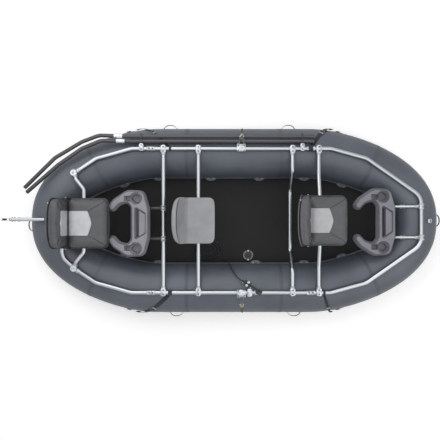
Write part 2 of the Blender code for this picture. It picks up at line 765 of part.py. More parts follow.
def make_stern_rails():
    """The stern rails, each with the corner fitting that carries the seat bar."""
    for side, corners in (("port", stern_rail_path()), ("starboard", anchor_rail_path())):
        rail = piece(f"stern_rail_{side}", pipe(rounded_path(corners, KNEE_RADIUS)), "bright_aluminium")
        x, y, z = corners[len(STERN_KNEE_SHARES) + 1]
        profile = [(-FITTING_RADIUS, CORNER_FITTING_RADIUS), (CORNER_FITTING_RISE, CORNER_FITTING_RADIUS)]
        join(rail, turned((x, y, z), (0, 0, 1), profile, PIPE_SIDES + 4, (1, 0, 0)))
        bar = seat_bar_path() if side == "port" else list(reversed(seat_bar_path()))
        cut(rail, pipe(trimmed(bar[: len(bar) // 2], SOCKET_STOP, 0.0), BORE_RADIUS))


def make_center_rails():
    """Straight centre rails with a coupler sleeve at each end, which the other rails slide into."""
    half = COUPLER_LENGTH / 2
    length = SPLICE_BOW_X - SPLICE_STERN_X
    profile = [
        (0.0, BORE_RADIUS),
        (-half, BORE_RADIUS),
        (-half, COUPLER_RADIUS),
        (half, COUPLER_RADIUS),
        (half, PIPE_RADIUS),
        (length - half, PIPE_RADIUS),
        (length - half, COUPLER_RADIUS),
        (length + half, COUPLER_RADIUS),
        (length + half, BORE_RADIUS),
        (length, BORE_RADIUS),
    ]
    for side, y in (("port", RAIL_Y), ("starboard", -RAIL_Y)):
        rail = turned((SPLICE_STERN_X, y, RAIL_Z), (1, 0, 0), profile)
        piece(f"center_rail_{side}", rail, "bright_aluminium")


def make_bow_rail():
    """The U-shaped bow rail with the two arms that carry the bow tray."""
    rail = piece("bow_rail", pipe(bow_rail_path()), "bright_aluminium")
    x, _, z = rail_point(BOW_KNEE_SHARES[-1][0] * HULL_TIP_X, 0.0)
    tray_z = BOW_TRAY_TOP - TRAY_HEIGHT - GAP - TRAY_ARM_RADIUS
    for y in (BOW_TRAY_Y - TRAY_ARM_Y, BOW_TRAY_Y + TRAY_ARM_Y):
        saddle = [(0.0, FITTING_RADIUS), (FITTING_LENGTH, FITTING_RADIUS)]
        join(rail, turned((x, y - FITTING_LENGTH / 2, z), (0, 1, 0), saddle))
        tray_end = (BOW_TRAY_BACK_X - TRAY_ARM_LAP, y, tray_z)
        path = [tray_end, (BOW_TRAY_BACK_X + TRAY_ARM_BEND, y, tray_z), (x, y, z)]
        join(rail, pipe(rounded_path(path, TRAY_ARM_BEND_RADIUS), TRAY_ARM_RADIUS))


def crossbar(name, path, bar_x):
    """A crossbar with the tee at each end that clamps it to its rail."""
    bar = piece(name, pipe(rounded_path(path, CROSSBAR_BEND_RADIUS)), "bright_aluminium")
    for side in (-1, 1):
        y = side * RAIL_Y
        sleeve = [(0.0, FITTING_RADIUS), (TEE_REACH, FITTING_RADIUS)]
        saddle = [(0.0, FITTING_RADIUS), (FITTING_LENGTH, FITTING_RADIUS)]
        join(bar, turned((bar_x, y, RAIL_Z), (0, -side, 0), sleeve))
        join(bar, turned((bar_x - FITTING_LENGTH / 2, y, RAIL_Z), (1, 0, 0), saddle))
        bore = [(0.0, BORE_RADIUS), (FITTING_LENGTH + 2 * OVERRUN, BORE_RADIUS)]
        cut(bar, turned((bar_x - FITTING_LENGTH / 2 - OVERRUN, y, RAIL_Z), (1, 0, 0), bore))
    return bar


def bar_path(x, outer, inner, change):
    """A crossbar's path, which steps up or down between two places on each side."""
    end = RAIL_Y - PIPE_RADIUS
    level = RAIL_Z + change
    port = [(x, end, RAIL_Z), (x, outer, RAIL_Z), (x, inner, level)]
    return port + mirrored(reversed(port))


def make_crossbars():
    end = RAIL_Y - PIPE_RADIUS
    tray_bar = crossbar("tray_crossbar", [(TRAY_BAR_X, end, RAIL_Z), (TRAY_BAR_X, -end, RAIL_Z)], TRAY_BAR_X)
    for y in (STERN_TRAY_Y - TRAY_ARM_Y, STERN_TRAY_Y + TRAY_ARM_Y):
        tray_z = STERN_TRAY_TOP - TRAY_HEIGHT - GAP - TRAY_ARM_RADIUS
        tray_end = (STERN_TRAY_BACK_X - TRAY_ARM_LAP, y, tray_z)
        path = [tray_end, (STERN_TRAY_BACK_X + TRAY_ARM_BEND, y, tray_z), (TRAY_BAR_X, y, RAIL_Z)]
        join(tray_bar, pipe(rounded_path(path, TRAY_ARM_BEND_RADIUS), TRAY_ARM_RADIUS))
    rower_bar = crossbar("rower_crossbar", [(ROWER_BAR_X, end, RAIL_Z), (ROWER_BAR_X, -end, RAIL_Z)], ROWER_BAR_X)
    add_rower_posts(rower_bar)
    crossbar("foot_bar", bar_path(FOOT_BAR_X, FOOT_BAR_OUTER_Y, FOOT_BAR_INNER_Y, -FOOT_BAR_DROP), FOOT_BAR_X)
    seat_path = bar_path(BOW_SEAT_BAR_X, SEAT_BAR_OUTER_Y, SEAT_BAR_INNER_Y, SEAT_BAR_Z - RAIL_Z)
    crossbar("bow_seat_crossbar", seat_path, BOW_SEAT_BAR_X)
    seat_bar = trimmed(seat_bar_path(), SOCKET_STOP + GAP, SOCKET_STOP + GAP)
    piece("stern_seat_bar", pipe(seat_bar), "bright_aluminium")


def arm_height():
    """Height of the anchor arm, whose socket rests on the stern tube."""
    return crest(-CENTRE_TIP_X) + GAP + ARM_SOCKET_RADIUS


def add_rower_posts(bar):
    """Two brackets that lift the rower's seat off its crossbar."""
    top = ROWER_SEAT_TOP - ROWER_SEAT_THICKNESS - GAP
    for y in (-ROWER_POST_Y, ROWER_POST_Y):
        half, thin = ROWER_POST_WIDTH / 2, ROWER_POST_THICKNESS / 2
        join(bar, block((ROWER_BAR_X - half, y - thin, RAIL_Z), (ROWER_BAR_X + half, y + thin, top)))


def make_arm_clamp():
    """The clamp on the anchor rail, with the socket that holds the anchor arm."""
    arm_z = arm_height()
    rail_x = ANCHOR_KNEE_SHARES[-1][0] * HULL_TIP_X
    low = ARM_Y - ARM_CLAMP_LENGTH / 2
    saddle = [(0.0, ARM_CLAMP_RADIUS), (ARM_CLAMP_LENGTH, ARM_CLAMP_RADIUS)]
    clamp = piece("anchor_arm_clamp", turned((rail_x, low, SEAT_BAR_Z), (0, 1, 0), saddle), "black_metal")
    length = rail_x - ARM_SOCKET_END_X
    socket = [(0.0, ARM_SOCKET_RADIUS), (length, ARM_SOCKET_RADIUS)]
    join(clamp, turned((rail_x, ARM_Y, arm_z), (-1, 0, 0), socket, PIPE_SIDES + 4))
    rail_bore = [(0.0, BORE_RADIUS), (ANCHOR_RAIL_END_Y - low + GAP + OVERRUN, BORE_RADIUS)]
    cut(clamp, turned((rail_x, low - OVERRUN, SEAT_BAR_Z), (0, 1, 0), rail_bore))
    bore = [(0.0, ARM_RADIUS + GAP), (length, ARM_RADIUS + GAP)]
    cut(clamp, turned((rail_x - ARM_CLAMP_RADIUS - OVERRUN, ARM_Y, arm_z), (-1, 0, 0), bore))


def inset_outline(outline, inset):
    """The same flat outline moved inwards, given counter-clockwise points."""
    moved = []
    for index, point in enumerate(outline):
        before = Vector(outline[index - 1])
        after = Vector(outline[(index + 1) % len(outline)])
        along = (after - before).normalized()
        moved.append((point[0] - along.y * inset, point[1] + along.x * inset))
    return moved


def panel_outline(x_low, x_high, half_width, inset):
    """A rounded rectangle between two places and to both sides of zero."""
    low, high, half = x_low + inset, x_high - inset, half_width - inset
    corners = [(low, -half), (high, -half), (high, half), (low, half)]
    return rounded_outline(corners, max(SEAT_CORNER_RADIUS - inset, SEAT_CORNER_RADIUS / 3))


def cushion(x_low, x_high, half_width, low, thickness, crown, place):
    """A stuffed pad with drawn-in sides, a seam round its middle and a crown; place maps it to the raft."""
    edge = min(CUSHION_EDGE, thickness * EDGE_SHARE)
    seam = edge * SEAM_SHARE
    middle = low + thickness / 2
    layers = (
        (low, edge / 2),
        (low + edge / 2, 0.0),
        (middle - seam, 0.0),
        (middle, seam),
        (middle + seam, 0.0),
        (low + thickness - edge, 0.0),
        (low + thickness - edge / 3, edge / 2),
        (low + thickness, 1.5 * edge),
        (low + thickness + crown * CROWN_SHOULDER_SHARE, 3 * edge),
        (low + thickness + crown, 6 * edge),
    )
    rings = []
    for height, inset in layers:
        outline = panel_outline(x_low, x_high, half_width, inset)
        rings.append([place(x, y, height) for x, y in outline])
    return loft(rings)


def make_fishing_seat(name, pivot_x, pivot_y):
    """A folding seat on a swivel: it turns all the way round, and its back folds down on its cushion."""
    def at(x, y, z):
        return (pivot_x + x, pivot_y + y, z)

    turn = axis_empty(f"{name}_turn_axis", at(0, 0, SEAT_BAR_Z))
    plate_low = make_seat_mount(name, at)
    swivel_low = plate_low + SEAT_PLATE_THICKNESS + GAP
    disc = [(0.0, SWIVEL_RADIUS), (SWIVEL_HEIGHT, SWIVEL_RADIUS)]
    axis = at(0, 0, SEAT_BAR_Z)
    swivel = turned(at(0, 0, swivel_low), (0, 0, 1), disc, 2 * PIPE_SIDES, (1, 0, 0))
    piece(f"{name}_swivel", swivel, "black_metal", axis, turn)
    pan_low = swivel_low + SWIVEL_HEIGHT + GAP
    pan_top = pan_low + PAN_THICKNESS
    hinge_z = pan_top + GAP + CUSHION_THICKNESS + CUSHION_CROWN + BACK_CROWN
    hinge = (-SEAT_BACK_OFFSET + BACK_SHELL_THICKNESS + BACK_CUSHION_THICKNESS, hinge_z)
    make_seat_pan(name, at, axis, turn, pan_low, hinge)
    front = hinge[0] + BACK_CLEARANCE
    half = SEAT_WIDTH / 2
    pad = cushion(front, SEAT_FRONT_OFFSET, half, pan_top + GAP, CUSHION_THICKNESS, CUSHION_CROWN, at)
    piece(f"{name}_cushion", pad, "seat_vinyl", axis, turn)
    fold = axis_empty(f"{name}_back_axis", at(hinge[0], 0, hinge[1]), turn)
    fold.location = Vector(at(hinge[0], 0, hinge[1])) - turn.location
    make_seat_back(name, at, fold, turn, pan_top, hinge)


def make_seat_mount(name, at):
    """The saddle on the bar, with the fixed plate of the swivel; gives the plate's underside."""
    half = SEAT_SADDLE_WIDTH / 2
    saddle = [(0.0, FITTING_RADIUS), (SEAT_SADDLE_WIDTH, FITTING_RADIUS)]
    mount = piece(f"{name}_mount", turned(at(0, -half, SEAT_BAR_Z), (0, 1, 0), saddle), "black_metal")
    plate_low = SEAT_BAR_Z + FITTING_RADIUS - SEAT_PLATE_THICKNESS / 2
    side = SEAT_PLATE_SIZE / 2
    corners = [at(-side, -side, 0)[:2], at(side, -side, 0)[:2], at(side, side, 0)[:2], at(-side, side, 0)[:2]]
    outline = rounded_outline(corners, SEAT_CORNER_RADIUS / 3)
    join(mount, slab(outline, plate_low, plate_low + SEAT_PLATE_THICKNESS))
    bore = [(0.0, BORE_RADIUS), (SEAT_SADDLE_WIDTH + 2 * OVERRUN, BORE_RADIUS)]
    cut(mount, turned(at(0, -half - OVERRUN, SEAT_BAR_Z), (0, 1, 0), bore))
    return plate_low


def make_seat_pan(name, at, axis, turn, low, hinge):
    """The moulded pan under the cushion, with the two hinge ears that carry the back."""
    half = SEAT_WIDTH / 2
    outline = panel_outline(-SEAT_BACK_OFFSET, SEAT_FRONT_OFFSET, half + GAP + HINGE_EAR_THICKNESS, 0.0)
    rim = [at(x, y, 0)[:2] for x, y in outline]
    pan = piece(f"{name}_pan", slab(rim, low, low + PAN_THICKNESS), "seat_plastic", axis, turn)
    for side in (-1, 1):
        inner = side * (half + GAP)
        outer = side * (half + GAP + HINGE_EAR_THICKNESS)
        reach = HINGE_EAR_LENGTH / 2
        foot = [(-reach, low), (reach, low), (HINGE_BOSS_RADIUS, hinge[1]), (-HINGE_BOSS_RADIUS, hinge[1])]
        ear = [(x, z) for x, z in foot[:2]]
        for step in range(CORNER_STEPS + 1):
            angle = math.pi * step / CORNER_STEPS
            ear.append((HINGE_BOSS_RADIUS * math.cos(angle), hinge[1] + HINGE_BOSS_RADIUS * math.sin(angle)))
        rings = [[at(hinge[0] + x, y, z) for x, z in ear] for y in (inner, outer)]
        join(pan, loft(rings))
    bore = [(0.0, HINGE_PIN_RADIUS + GAP), (SEAT_WIDTH + 2 * OVERRUN, HINGE_PIN_RADIUS + GAP)]
    cut(pan, turned(at(hinge[0], -half - OVERRUN, hinge[1]), (0, 1, 0), bore))


def make_seat_back(name, at, fold, turn, pan_top, hinge):
    """The back: a shell with side cheeks that hold the hinge pins, and its cushion."""
    axis = at(hinge[0], 0, hinge[1])
    low = pan_top + BACK_CLEARANCE
    half = SEAT_WIDTH / 2
    rear = -SEAT_BACK_OFFSET
    outline = panel_outline(low, low + BACK_HEIGHT, half, 0.0)

    def lean(z):
        """How far the back's rear side has leaned aft at a height."""
        return BACK_LEAN * (z - low) / BACK_HEIGHT

    rings = [[at(x - lean(z), y, z) for z, y in outline] for x in (rear, rear + BACK_SHELL_THICKNESS)]
    shell = piece(f"{name}_back_shell", loft(rings), "seat_plastic", axis, fold)
    shell.location = Vector(axis) - turn.location - fold.location
    for side in (-1, 1):
        outer = side * half
        inner = side * (half - HINGE_EAR_THICKNESS)
        inside = rear + BACK_SHELL_THICKNESS / 2
        feet = (hinge[1] - HINGE_EAR_LENGTH, hinge[1] + HINGE_EAR_LENGTH)
        cheek = [(inside - lean(z), z) for z in feet]
        for step in range(CORNER_STEPS + 1):
            angle = math.pi / 2 - math.pi * step / CORNER_STEPS
            x = hinge[0] + HINGE_BOSS_RADIUS * math.cos(angle)
            cheek.append((x, hinge[1] + HINGE_BOSS_RADIUS * math.sin(angle)))
        join(shell, loft([[at(x, y, z) for x, z in cheek] for y in (inner, outer)]))
        length = HINGE_EAR_THICKNESS * 3
        pin = [(0.0, HINGE_PIN_RADIUS), (length, HINGE_PIN_RADIUS)]
        join(shell, turned(at(hinge[0], inner, hinge[1]), (0, side, 0), pin))
    pad_half = half - HINGE_EAR_THICKNESS - GAP

    front = rear + BACK_SHELL_THICKNESS + GAP
    top = low + BACK_HEIGHT
    reach = hinge[0] - front

    def place(z, y, x):
        return at(x - lean(z) * max(0.0, (hinge[0] - x) / reach), y, z)

    pad = cushion(low, top, pad_half, front, BACK_CUSHION_THICKNESS - BACK_CROWN, BACK_CROWN, place)
    back = piece(f"{name}_back_cushion", pad, "seat_vinyl", axis, fold)
    back.location = Vector(axis) - turn.location - fold.location


def make_rower_seat():
    """The rower's moulded seat, with a raised lip round its back edge."""
    x = ROWER_BAR_X + ROWER_SEAT_CENTRE_OFFSET
    low = x - ROWER_SEAT_LENGTH / 2
    high = x + ROWER_SEAT_LENGTH / 2
    half = ROWER_SEAT_WIDTH / 2
    base = ROWER_SEAT_TOP - ROWER_SEAT_THICKNESS
    edge = CUSHION_EDGE
    lip_top = ROWER_SEAT_TOP + ROWER_LIP_HEIGHT
    layers = ((base, edge), (base + edge, 0.0), (lip_top - edge / 2, 0.0), (lip_top, edge / 2))
    rings = [[(px, py, z) for px, py in panel_outline(low, high, half, inset)] for z, inset in layers]
    seat = piece("rower_seat", loft(rings), "rower_plastic")
    sides = half + OVERRUN
    front = low + ROWER_LIP_WIDTH
    far = high + OVERRUN
    scoop = rounded_outline([(front, -sides), (far, -sides), (far, sides), (front, sides)], SEAT_CORNER_RADIUS)
    cut(seat, slab(scoop, ROWER_SEAT_TOP, ROWER_SEAT_TOP + ROWER_LIP_HEIGHT + OVERRUN))


def tray_outline():
    """The C-shaped outline as (forward from the back edge, sideways), counter-clockwise."""
    half = TRAY_WIDTH / 2
    outer = [(along * TRAY_DEPTH, across * half) for along, across in TRAY_OUTER_SHARES]
    inner = [(along * TRAY_DEPTH, across * half) for along, across in TRAY_INNER_SHARES]
    starboard = [(x, -y) for x, y in outer + inner]
    port = [(x, y) for x, y in reversed(outer + inner)]
    radii = list(TRAY_OUTER_RADII + TRAY_INNER_RADII)
    return rounded_outline(starboard + port, radii + radii[::-1])


def make_tray(name, back_x, centre_y, top):
    """A moulded standing brace with two cup holders, two rod slots and a pocket."""
    def place(outline, z):
        return [(back_x - x, centre_y + y, z) for x, y in outline]

    outline = tray_outline()
    low = top - TRAY_HEIGHT
    soft = inset_outline(outline, TRAY_EDGE)
    rings = [place(soft, low), place(outline, low + TRAY_EDGE), place(outline, top - TRAY_EDGE), place(soft, top)]
    tray = piece(name, loft(rings), "tray_plastic")
    for side in (-1, 1):
        cup = (back_x - TRAY_CUP_BACK, centre_y + side * TRAY_CUP_Y, top - TRAY_CUP_DEPTH)
        profile = [(0.0, TRAY_CUP_RADIUS - TRAY_EDGE), (TRAY_CUP_DEPTH + OVERRUN, TRAY_CUP_RADIUS)]
        cut(tray, turned(cup, (0, 0, 1), profile, 2 * PIPE_SIDES, (1, 0, 0)))
        near = TRAY_SLOT_BACK
        far = near + TRAY_SLOT_LENGTH
        inner = side * TRAY_CUP_Y - TRAY_SLOT_WIDTH / 2
        outer = side * TRAY_CUP_Y + TRAY_SLOT_WIDTH / 2
        corners = [(near, inner), (far, inner), (far, outer), (near, outer)]
        slot = rounded_outline(corners, TRAY_EDGE)
        cut(tray, loft([place(slot, top - TRAY_SLOT_DEPTH), place(slot, top + OVERRUN)]))
    corners = [
        (TRAY_POCKET_BACK, -TRAY_POCKET_BACK_WIDTH),
        (TRAY_POCKET_FRONT, -TRAY_POCKET_FRONT_WIDTH),
        (TRAY_POCKET_FRONT, TRAY_POCKET_FRONT_WIDTH),
        (TRAY_POCKET_BACK, TRAY_POCKET_BACK_WIDTH),
    ]
    pocket = rounded_outline(corners, 2 * TRAY_EDGE)
    cut(tray, loft([place(pocket, top - TRAY_POCKET_DEPTH), place(pocket, top + OVERRUN)]))


def make_oar_stand(name, side):
    """A clamp on the rail with two legs that hold the oarlock's socket, leaning outboard."""
    x_low, x_high = OAR_X - STAND_BLOCK_LENGTH / 2, OAR_X + STAND_BLOCK_LENGTH / 2
    inner = side * (RAIL_Y - STAND_BLOCK_INNER)
    outer = side * (RAIL_Y + STAND_BLOCK_OUTER)
    low, high = RAIL_Z - FITTING_RADIUS, RAIL_Z + FITTING_RADIUS
    edge = FITTING_RADIUS / 3
    section = rounded_outline([(inner, low), (outer, low), (outer, high), (inner, high)], edge)
    stand = piece(name, loft([[(x, y, z) for y, z in section] for x in (x_low, x_high)]), "cast_aluminium")
    base, along, _ = socket_frame(side)
    half = STAND_SOCKET_LENGTH / 2
    for spread in (-STAND_LEG_SPREAD, STAND_LEG_SPREAD):
        foot = (OAR_X + spread, outer - side * STAND_LEG_RADIUS, high - STAND_LEG_RADIUS)
        head = (OAR_X + spread * STAND_LEG_TOP_SHARE, base.y, base.z)
        join(stand, pipe([foot, head], STAND_LEG_RADIUS, PIPE_SIDES, (1, 0, 0)))
    profile = [(-half, STAND_SOCKET_RADIUS), (half, STAND_SOCKET_RADIUS)]
    join(stand, turned(base, along, profile, PIPE_SIDES + 4, (1, 0, 0)))
    rail_bore = [(0.0, BORE_RADIUS), (STAND_BLOCK_LENGTH + 2 * OVERRUN, BORE_RADIUS)]
    cut(stand, turned((x_low - OVERRUN, side * RAIL_Y, RAIL_Z), (1, 0, 0), rail_bore))
    reach = half + OVERRUN
    bore = (OARLOCK_SHAFT_RADIUS + GAP) / math.cos(math.pi / PIPE_SIDES)
    shaft_bore = [(-reach, bore), (reach, bore)]
    cut(stand, turned(base, along, shaft_bore, PIPE_SIDES, (1, 0, 0)))


def socket_frame(side):
    """Middle of an oarlock socket, its axis and the direction square to it that points outboard."""
    base = Vector((OAR_X, side * (RAIL_Y + STAND_SOCKET_OUT), RAIL_Z + STAND_SOCKET_UP))
    tilt = math.radians(STAND_TILT)
    along = Vector((0.0, side * math.sin(tilt), math.cos(tilt)))
    outward = Vector((0.0, side * math.cos(tilt), -math.sin(tilt)))
    return base, along, outward


def make_oarlock(name, side):
    """A U-shaped oarlock whose shaft turns in its socket."""
    base, along, outward = socket_frame(side)
    half = STAND_SOCKET_LENGTH / 2
    low = half + GAP
    high = low + OARLOCK_COLLAR_HEIGHT
    tail = [
        (-low - OARLOCK_TAIL, OARLOCK_NUT_RADIUS),
        (-low, OARLOCK_NUT_RADIUS),
        (-low, OARLOCK_SHAFT_RADIUS),
        (low, OARLOCK_SHAFT_RADIUS),
        (low, OARLOCK_COLLAR_RADIUS),
        (high, OARLOCK_COLLAR_RADIUS),
    ]
    axis = axis_empty(f"{name}_axis", base)
    lock = piece(name, turned(base, along, tail, PIPE_SIDES, (1, 0, 0)), "brass", base, axis)
    centre = high + OARLOCK_THROAT
    path = [base + outward * -OARLOCK_THROAT + along * (high + OARLOCK_HEIGHT)]
    for step in range(2 * CORNER_STEPS + 1):
        turn = math.pi + math.pi * step / (2 * CORNER_STEPS)
        place = outward * (OARLOCK_THROAT * math.cos(turn)) + along * (centre + OARLOCK_THROAT * math.sin(turn))
        path.append(base + place)
    path.append(base + outward * OARLOCK_THROAT + along * (high + OARLOCK_HEIGHT))
    join(lock, pipe(path, OARLOCK_HORN_RADIUS, 8, (1, 0, 0)))


def make_anchor_arm():
    """The anchor arm: a tube with two cheek plates at its end, and the sheave between them."""
    z = arm_height()
    start = ANCHOR_KNEE_SHARES[-1][0] * HULL_TIP_X - ARM_CLAMP_RADIUS - OVERRUN - GAP
    length = start - ARM_END_X - CHEEK_LENGTH + ANCHOR_SHEAVE_RADIUS / 2
    tube = turned((start, ARM_Y, z), (-1, 0, 0), [(0.0, ARM_RADIUS), (length, ARM_RADIUS)])
    arm = piece("anchor_arm", tube, "bright_aluminium")
    half = ANCHOR_SHEAVE_WIDTH / 2 + GAP
    sheave_x = ARM_END_X + ANCHOR_SHEAVE_RADIUS
    top = z + CHEEK_HEIGHT / 2
    low = z - CHEEK_HEIGHT / 2
    fore = ARM_END_X + CHEEK_LENGTH
    corners = [(ARM_END_X, low), (fore, low), (fore, top), (ARM_END_X, top)]
    cheek = rounded_outline(corners, CHEEK_HEIGHT / 3)
    for side in (-1, 1):
        inner = ARM_Y + side * half
        outer = ARM_Y + side * (half + CHEEK_THICKNESS)
        join(arm, loft([[(px, y, pz) for px, pz in cheek] for y in (inner, outer)]))
    width = half + CHEEK_THICKNESS + AXLE_RADIUS
    axle = [(-width, AXLE_RADIUS), (width, AXLE_RADIUS)]
    join(arm, turned((sheave_x, ARM_Y, z), (0, 1, 0), axle))
    centre = (sheave_x, ARM_Y, z)
    sheave = sheave_shape(centre, (0, 1, 0), ANCHOR_SHEAVE_RADIUS, ANCHOR_SHEAVE_WIDTH, (0, 0, 1))
    piece("anchor_sheave", sheave, "black_plastic", centre, axis_empty("anchor_sheave_axis", centre))


def sheave_shape(centre, along, radius, width, up):
    """A wheel with a square groove for the rope and a bore for its axle."""
    bore = AXLE_RADIUS + GAP
    half = width / 2
    side = ROPE_RADIUS + 2 * GAP
    floor = radius - GROOVE_DEPTH
    left = [(-half, bore), (-half, radius), (-side - GAP, radius), (-side, floor)]
    right = [(-distance, size) for distance, size in reversed(left)]
    return washer(centre, along, left + right, 2 * PIPE_SIDES, up)


def rope_line():
    """The straight pull of the rope over the deck: its middle at the cleat, and its directions."""
    turn = math.radians(CLEAT_TURN)
    along = Vector((math.cos(turn), math.sin(turn), 0.0))
    beside = Vector((-along.y, along.x, 0.0))
    middle = Vector((CLEAT_X, -(RAIL_Y - CLEAT_INBOARD), DECK_TOP + GAP + CAM_HEIGHT / 2))
    return middle, along, beside


def oriented_block(middle, along, beside, length, width, low, high):
    """A box that lies along a slanting line."""
    corners = [(-length, -width), (length, -width), (length, width), (-length, width)]
    outline = [middle + along * (x / 2) + beside * (y / 2) for x, y in corners]
    return slab([(point.x, point.y) for point in outline], low, high)


def make_cleat():
    """The cam cleat on the starboard rail: a clamp with a slanting plate, and two sprung cams."""
    middle, along, beside = rope_line()
    half = FITTING_LENGTH / 2
    clamp_x = CLEAT_X + CLEAT_CLAMP_SHIFT
    saddle = [(0.0, FITTING_RADIUS), (FITTING_LENGTH, FITTING_RADIUS)]
    base = piece("cleat_base", turned((clamp_x - half, -RAIL_Y, RAIL_Z), (1, 0, 0), saddle), "black_metal")
    low = DECK_TOP - CLEAT_THICKNESS
    join(base, oriented_block(middle, along, beside, CLEAT_LENGTH, CLEAT_WIDTH, low, DECK_TOP))
    join(base, block((clamp_x - half / 2, -RAIL_Y, low + GAP), (clamp_x + half / 2, middle.y, DECK_TOP - GAP)))
    bore = [(0.0, BORE_RADIUS), (FITTING_LENGTH + 2 * OVERRUN, BORE_RADIUS)]
    cut(base, turned((clamp_x - half - OVERRUN, -RAIL_Y, RAIL_Z), (1, 0, 0), bore))
    reach = ROPE_RADIUS + CAM_RADIUS + CAM_CLEARANCE
    for name, side in (("cleat_cam_inner", 1), ("cleat_cam_outer", -1)):
        centre = middle + beside * (side * reach)
        foot = (centre.x, centre.y, DECK_TOP - CLEAT_THICKNESS / 2)
        height = CLEAT_THICKNESS / 2 + CAM_HEIGHT + 2 * GAP
        join(base, turned(foot, (0, 0, 1), [(0.0, CAM_PIN_RADIUS), (height, CAM_PIN_RADIUS)], 8, (1, 0, 0)))
        start = (centre.x, centre.y, DECK_TOP + GAP)
        bore = CAM_PIN_RADIUS + GAP
        profile = [(0.0, bore), (0.0, CAM_RADIUS), (CAM_HEIGHT, CAM_RADIUS), (CAM_HEIGHT, bore)]
        cam = washer(start, (0, 0, 1), profile, PIPE_SIDES, (1, 0, 0))
        piece(name, cam, "cast_aluminium", start, axis_empty(f"{name}_axis", start))


def deck_sheave_centre():
    """The deck sheave's place, beside the line of the rope."""
    middle, along, beside = rope_line()
    offset = DECK_SHEAVE_RADIUS - GROOVE_DEPTH + ROPE_RADIUS + GAP
    return middle + along * DECK_PULLEY_REACH - beside * offset


def make_deck_pulley():
    """The turning sheave on the starboard rail, and the fairlead that the rope comes out of."""
    middle, along, beside = rope_line()
    centre = deck_sheave_centre()
    half = FITTING_LENGTH / 2
    saddle = [(0.0, FITTING_RADIUS), (FITTING_LENGTH, FITTING_RADIUS)]
    base = piece("deck_pulley", turned((centre.x - half, -RAIL_Y, RAIL_Z), (1, 0, 0), saddle), "cast_aluminium")
    low = DECK_TOP - CLEAT_THICKNESS / 2
    plate_middle = Vector((centre.x, centre.y, 0.0))
    length = 2 * DECK_SHEAVE_RADIUS + FAIRLEAD_LENGTH
    plate_middle += along * FAIRLEAD_LENGTH
    join(base, oriented_block(plate_middle, along, beside, length, CLEAT_WIDTH, low, DECK_TOP))
    foot = (centre.x, centre.y, low)
    height = DECK_TOP - low + GAP + DECK_SHEAVE_WIDTH
    post = [(0.0, AXLE_RADIUS), (height + GAP, AXLE_RADIUS)]
    join(base, turned(foot, (0, 0, 1), post, PIPE_SIDES, (1, 0, 0)))
    lead = middle + along * (DECK_PULLEY_REACH + DECK_SHEAVE_RADIUS)
    tube = [(0.0, FAIRLEAD_RADIUS), (FAIRLEAD_LENGTH, FAIRLEAD_RADIUS)]
    join(base, turned(lead, along, tube))
    bore = [(-OVERRUN, ROPE_RADIUS + GAP), (FAIRLEAD_LENGTH / 2, ROPE_RADIUS + GAP)]
    cut(base, turned(lead, along, bore))
    rail_bore = [(0.0, BORE_RADIUS), (FITTING_LENGTH + 2 * OVERRUN, BORE_RADIUS)]
    cut(base, turned((centre.x - half - OVERRUN, -RAIL_Y, RAIL_Z), (1, 0, 0), rail_bore))
    place = (centre.x, centre.y, DECK_TOP + GAP + DECK_SHEAVE_WIDTH / 2)
    sheave = sheave_shape(place, (0, 0, 1), DECK_SHEAVE_RADIUS, DECK_SHEAVE_WIDTH, (1, 0, 0))
    piece("deck_sheave", sheave, "black_plastic", place, axis_empty("deck_sheave_axis", place))


def make_rod_tube(name, y):
    """A rod tube with an open bore from end to end and a flared mouth towards the bow."""
    length = ROD_TUBE_FORE_X - ROD_TUBE_AFT_X
    mouth = length + ROD_MOUTH_LENGTH
    flared = ROD_TUBE_RADIUS + ROD_MOUTH_FLARE
    profile = [
        (0.0, ROD_BORE_RADIUS),
        (0.0, ROD_TUBE_RADIUS),
        (length, ROD_TUBE_RADIUS),
        (mouth, flared),
        (mouth, ROD_BORE_RADIUS + ROD_MOUTH_FLARE),
        (length, ROD_BORE_RADIUS),
    ]
    piece(name, washer((ROD_TUBE_AFT_X, y, RAIL_Z), (1, 0, 0), profile, ROD_SIDES + 2), "rod_plastic")


def make_rod_tip(name, y, knees, coupler_x):
    """The bent tip tube, closed at its end, with the coupler ring on it."""
    radius = ROD_BORE_RADIUS - GAP
    inner = radius - ROD_TIP_WALL
    neck = Vector((ROD_TUBE_AFT_X - ROD_TIP_LAP / 2, y, RAIL_Z))
    bends = [Vector((along * HULL_TIP_X, across * y, RAIL_Z)) for along, across in knees]
    path = rounded_path([(ROD_TUBE_AFT_X + ROD_TIP_LAP, y, RAIL_Z), neck] + bends, ROD_BEND_RADIUS)
    sides = ROD_SIDES + 2
    tip = piece(name, pipe(path, radius, sides), "rod_plastic")
    ring = [(0.0, ROD_TUBE_RADIUS), (ROD_COUPLER_LENGTH, ROD_TUBE_RADIUS)]
    along = bends[0] - neck
    share = (coupler_x - neck.x) / along.x
    middle = neck + along * share - along.normalized() * (ROD_COUPLER_LENGTH / 2)
    join(tip, turned(middle, along, ring, sides))
    cut(tip, pipe(trimmed(path, -OVERRUN, ROD_TIP_WALL), inner, ROD_SIDES - 2))


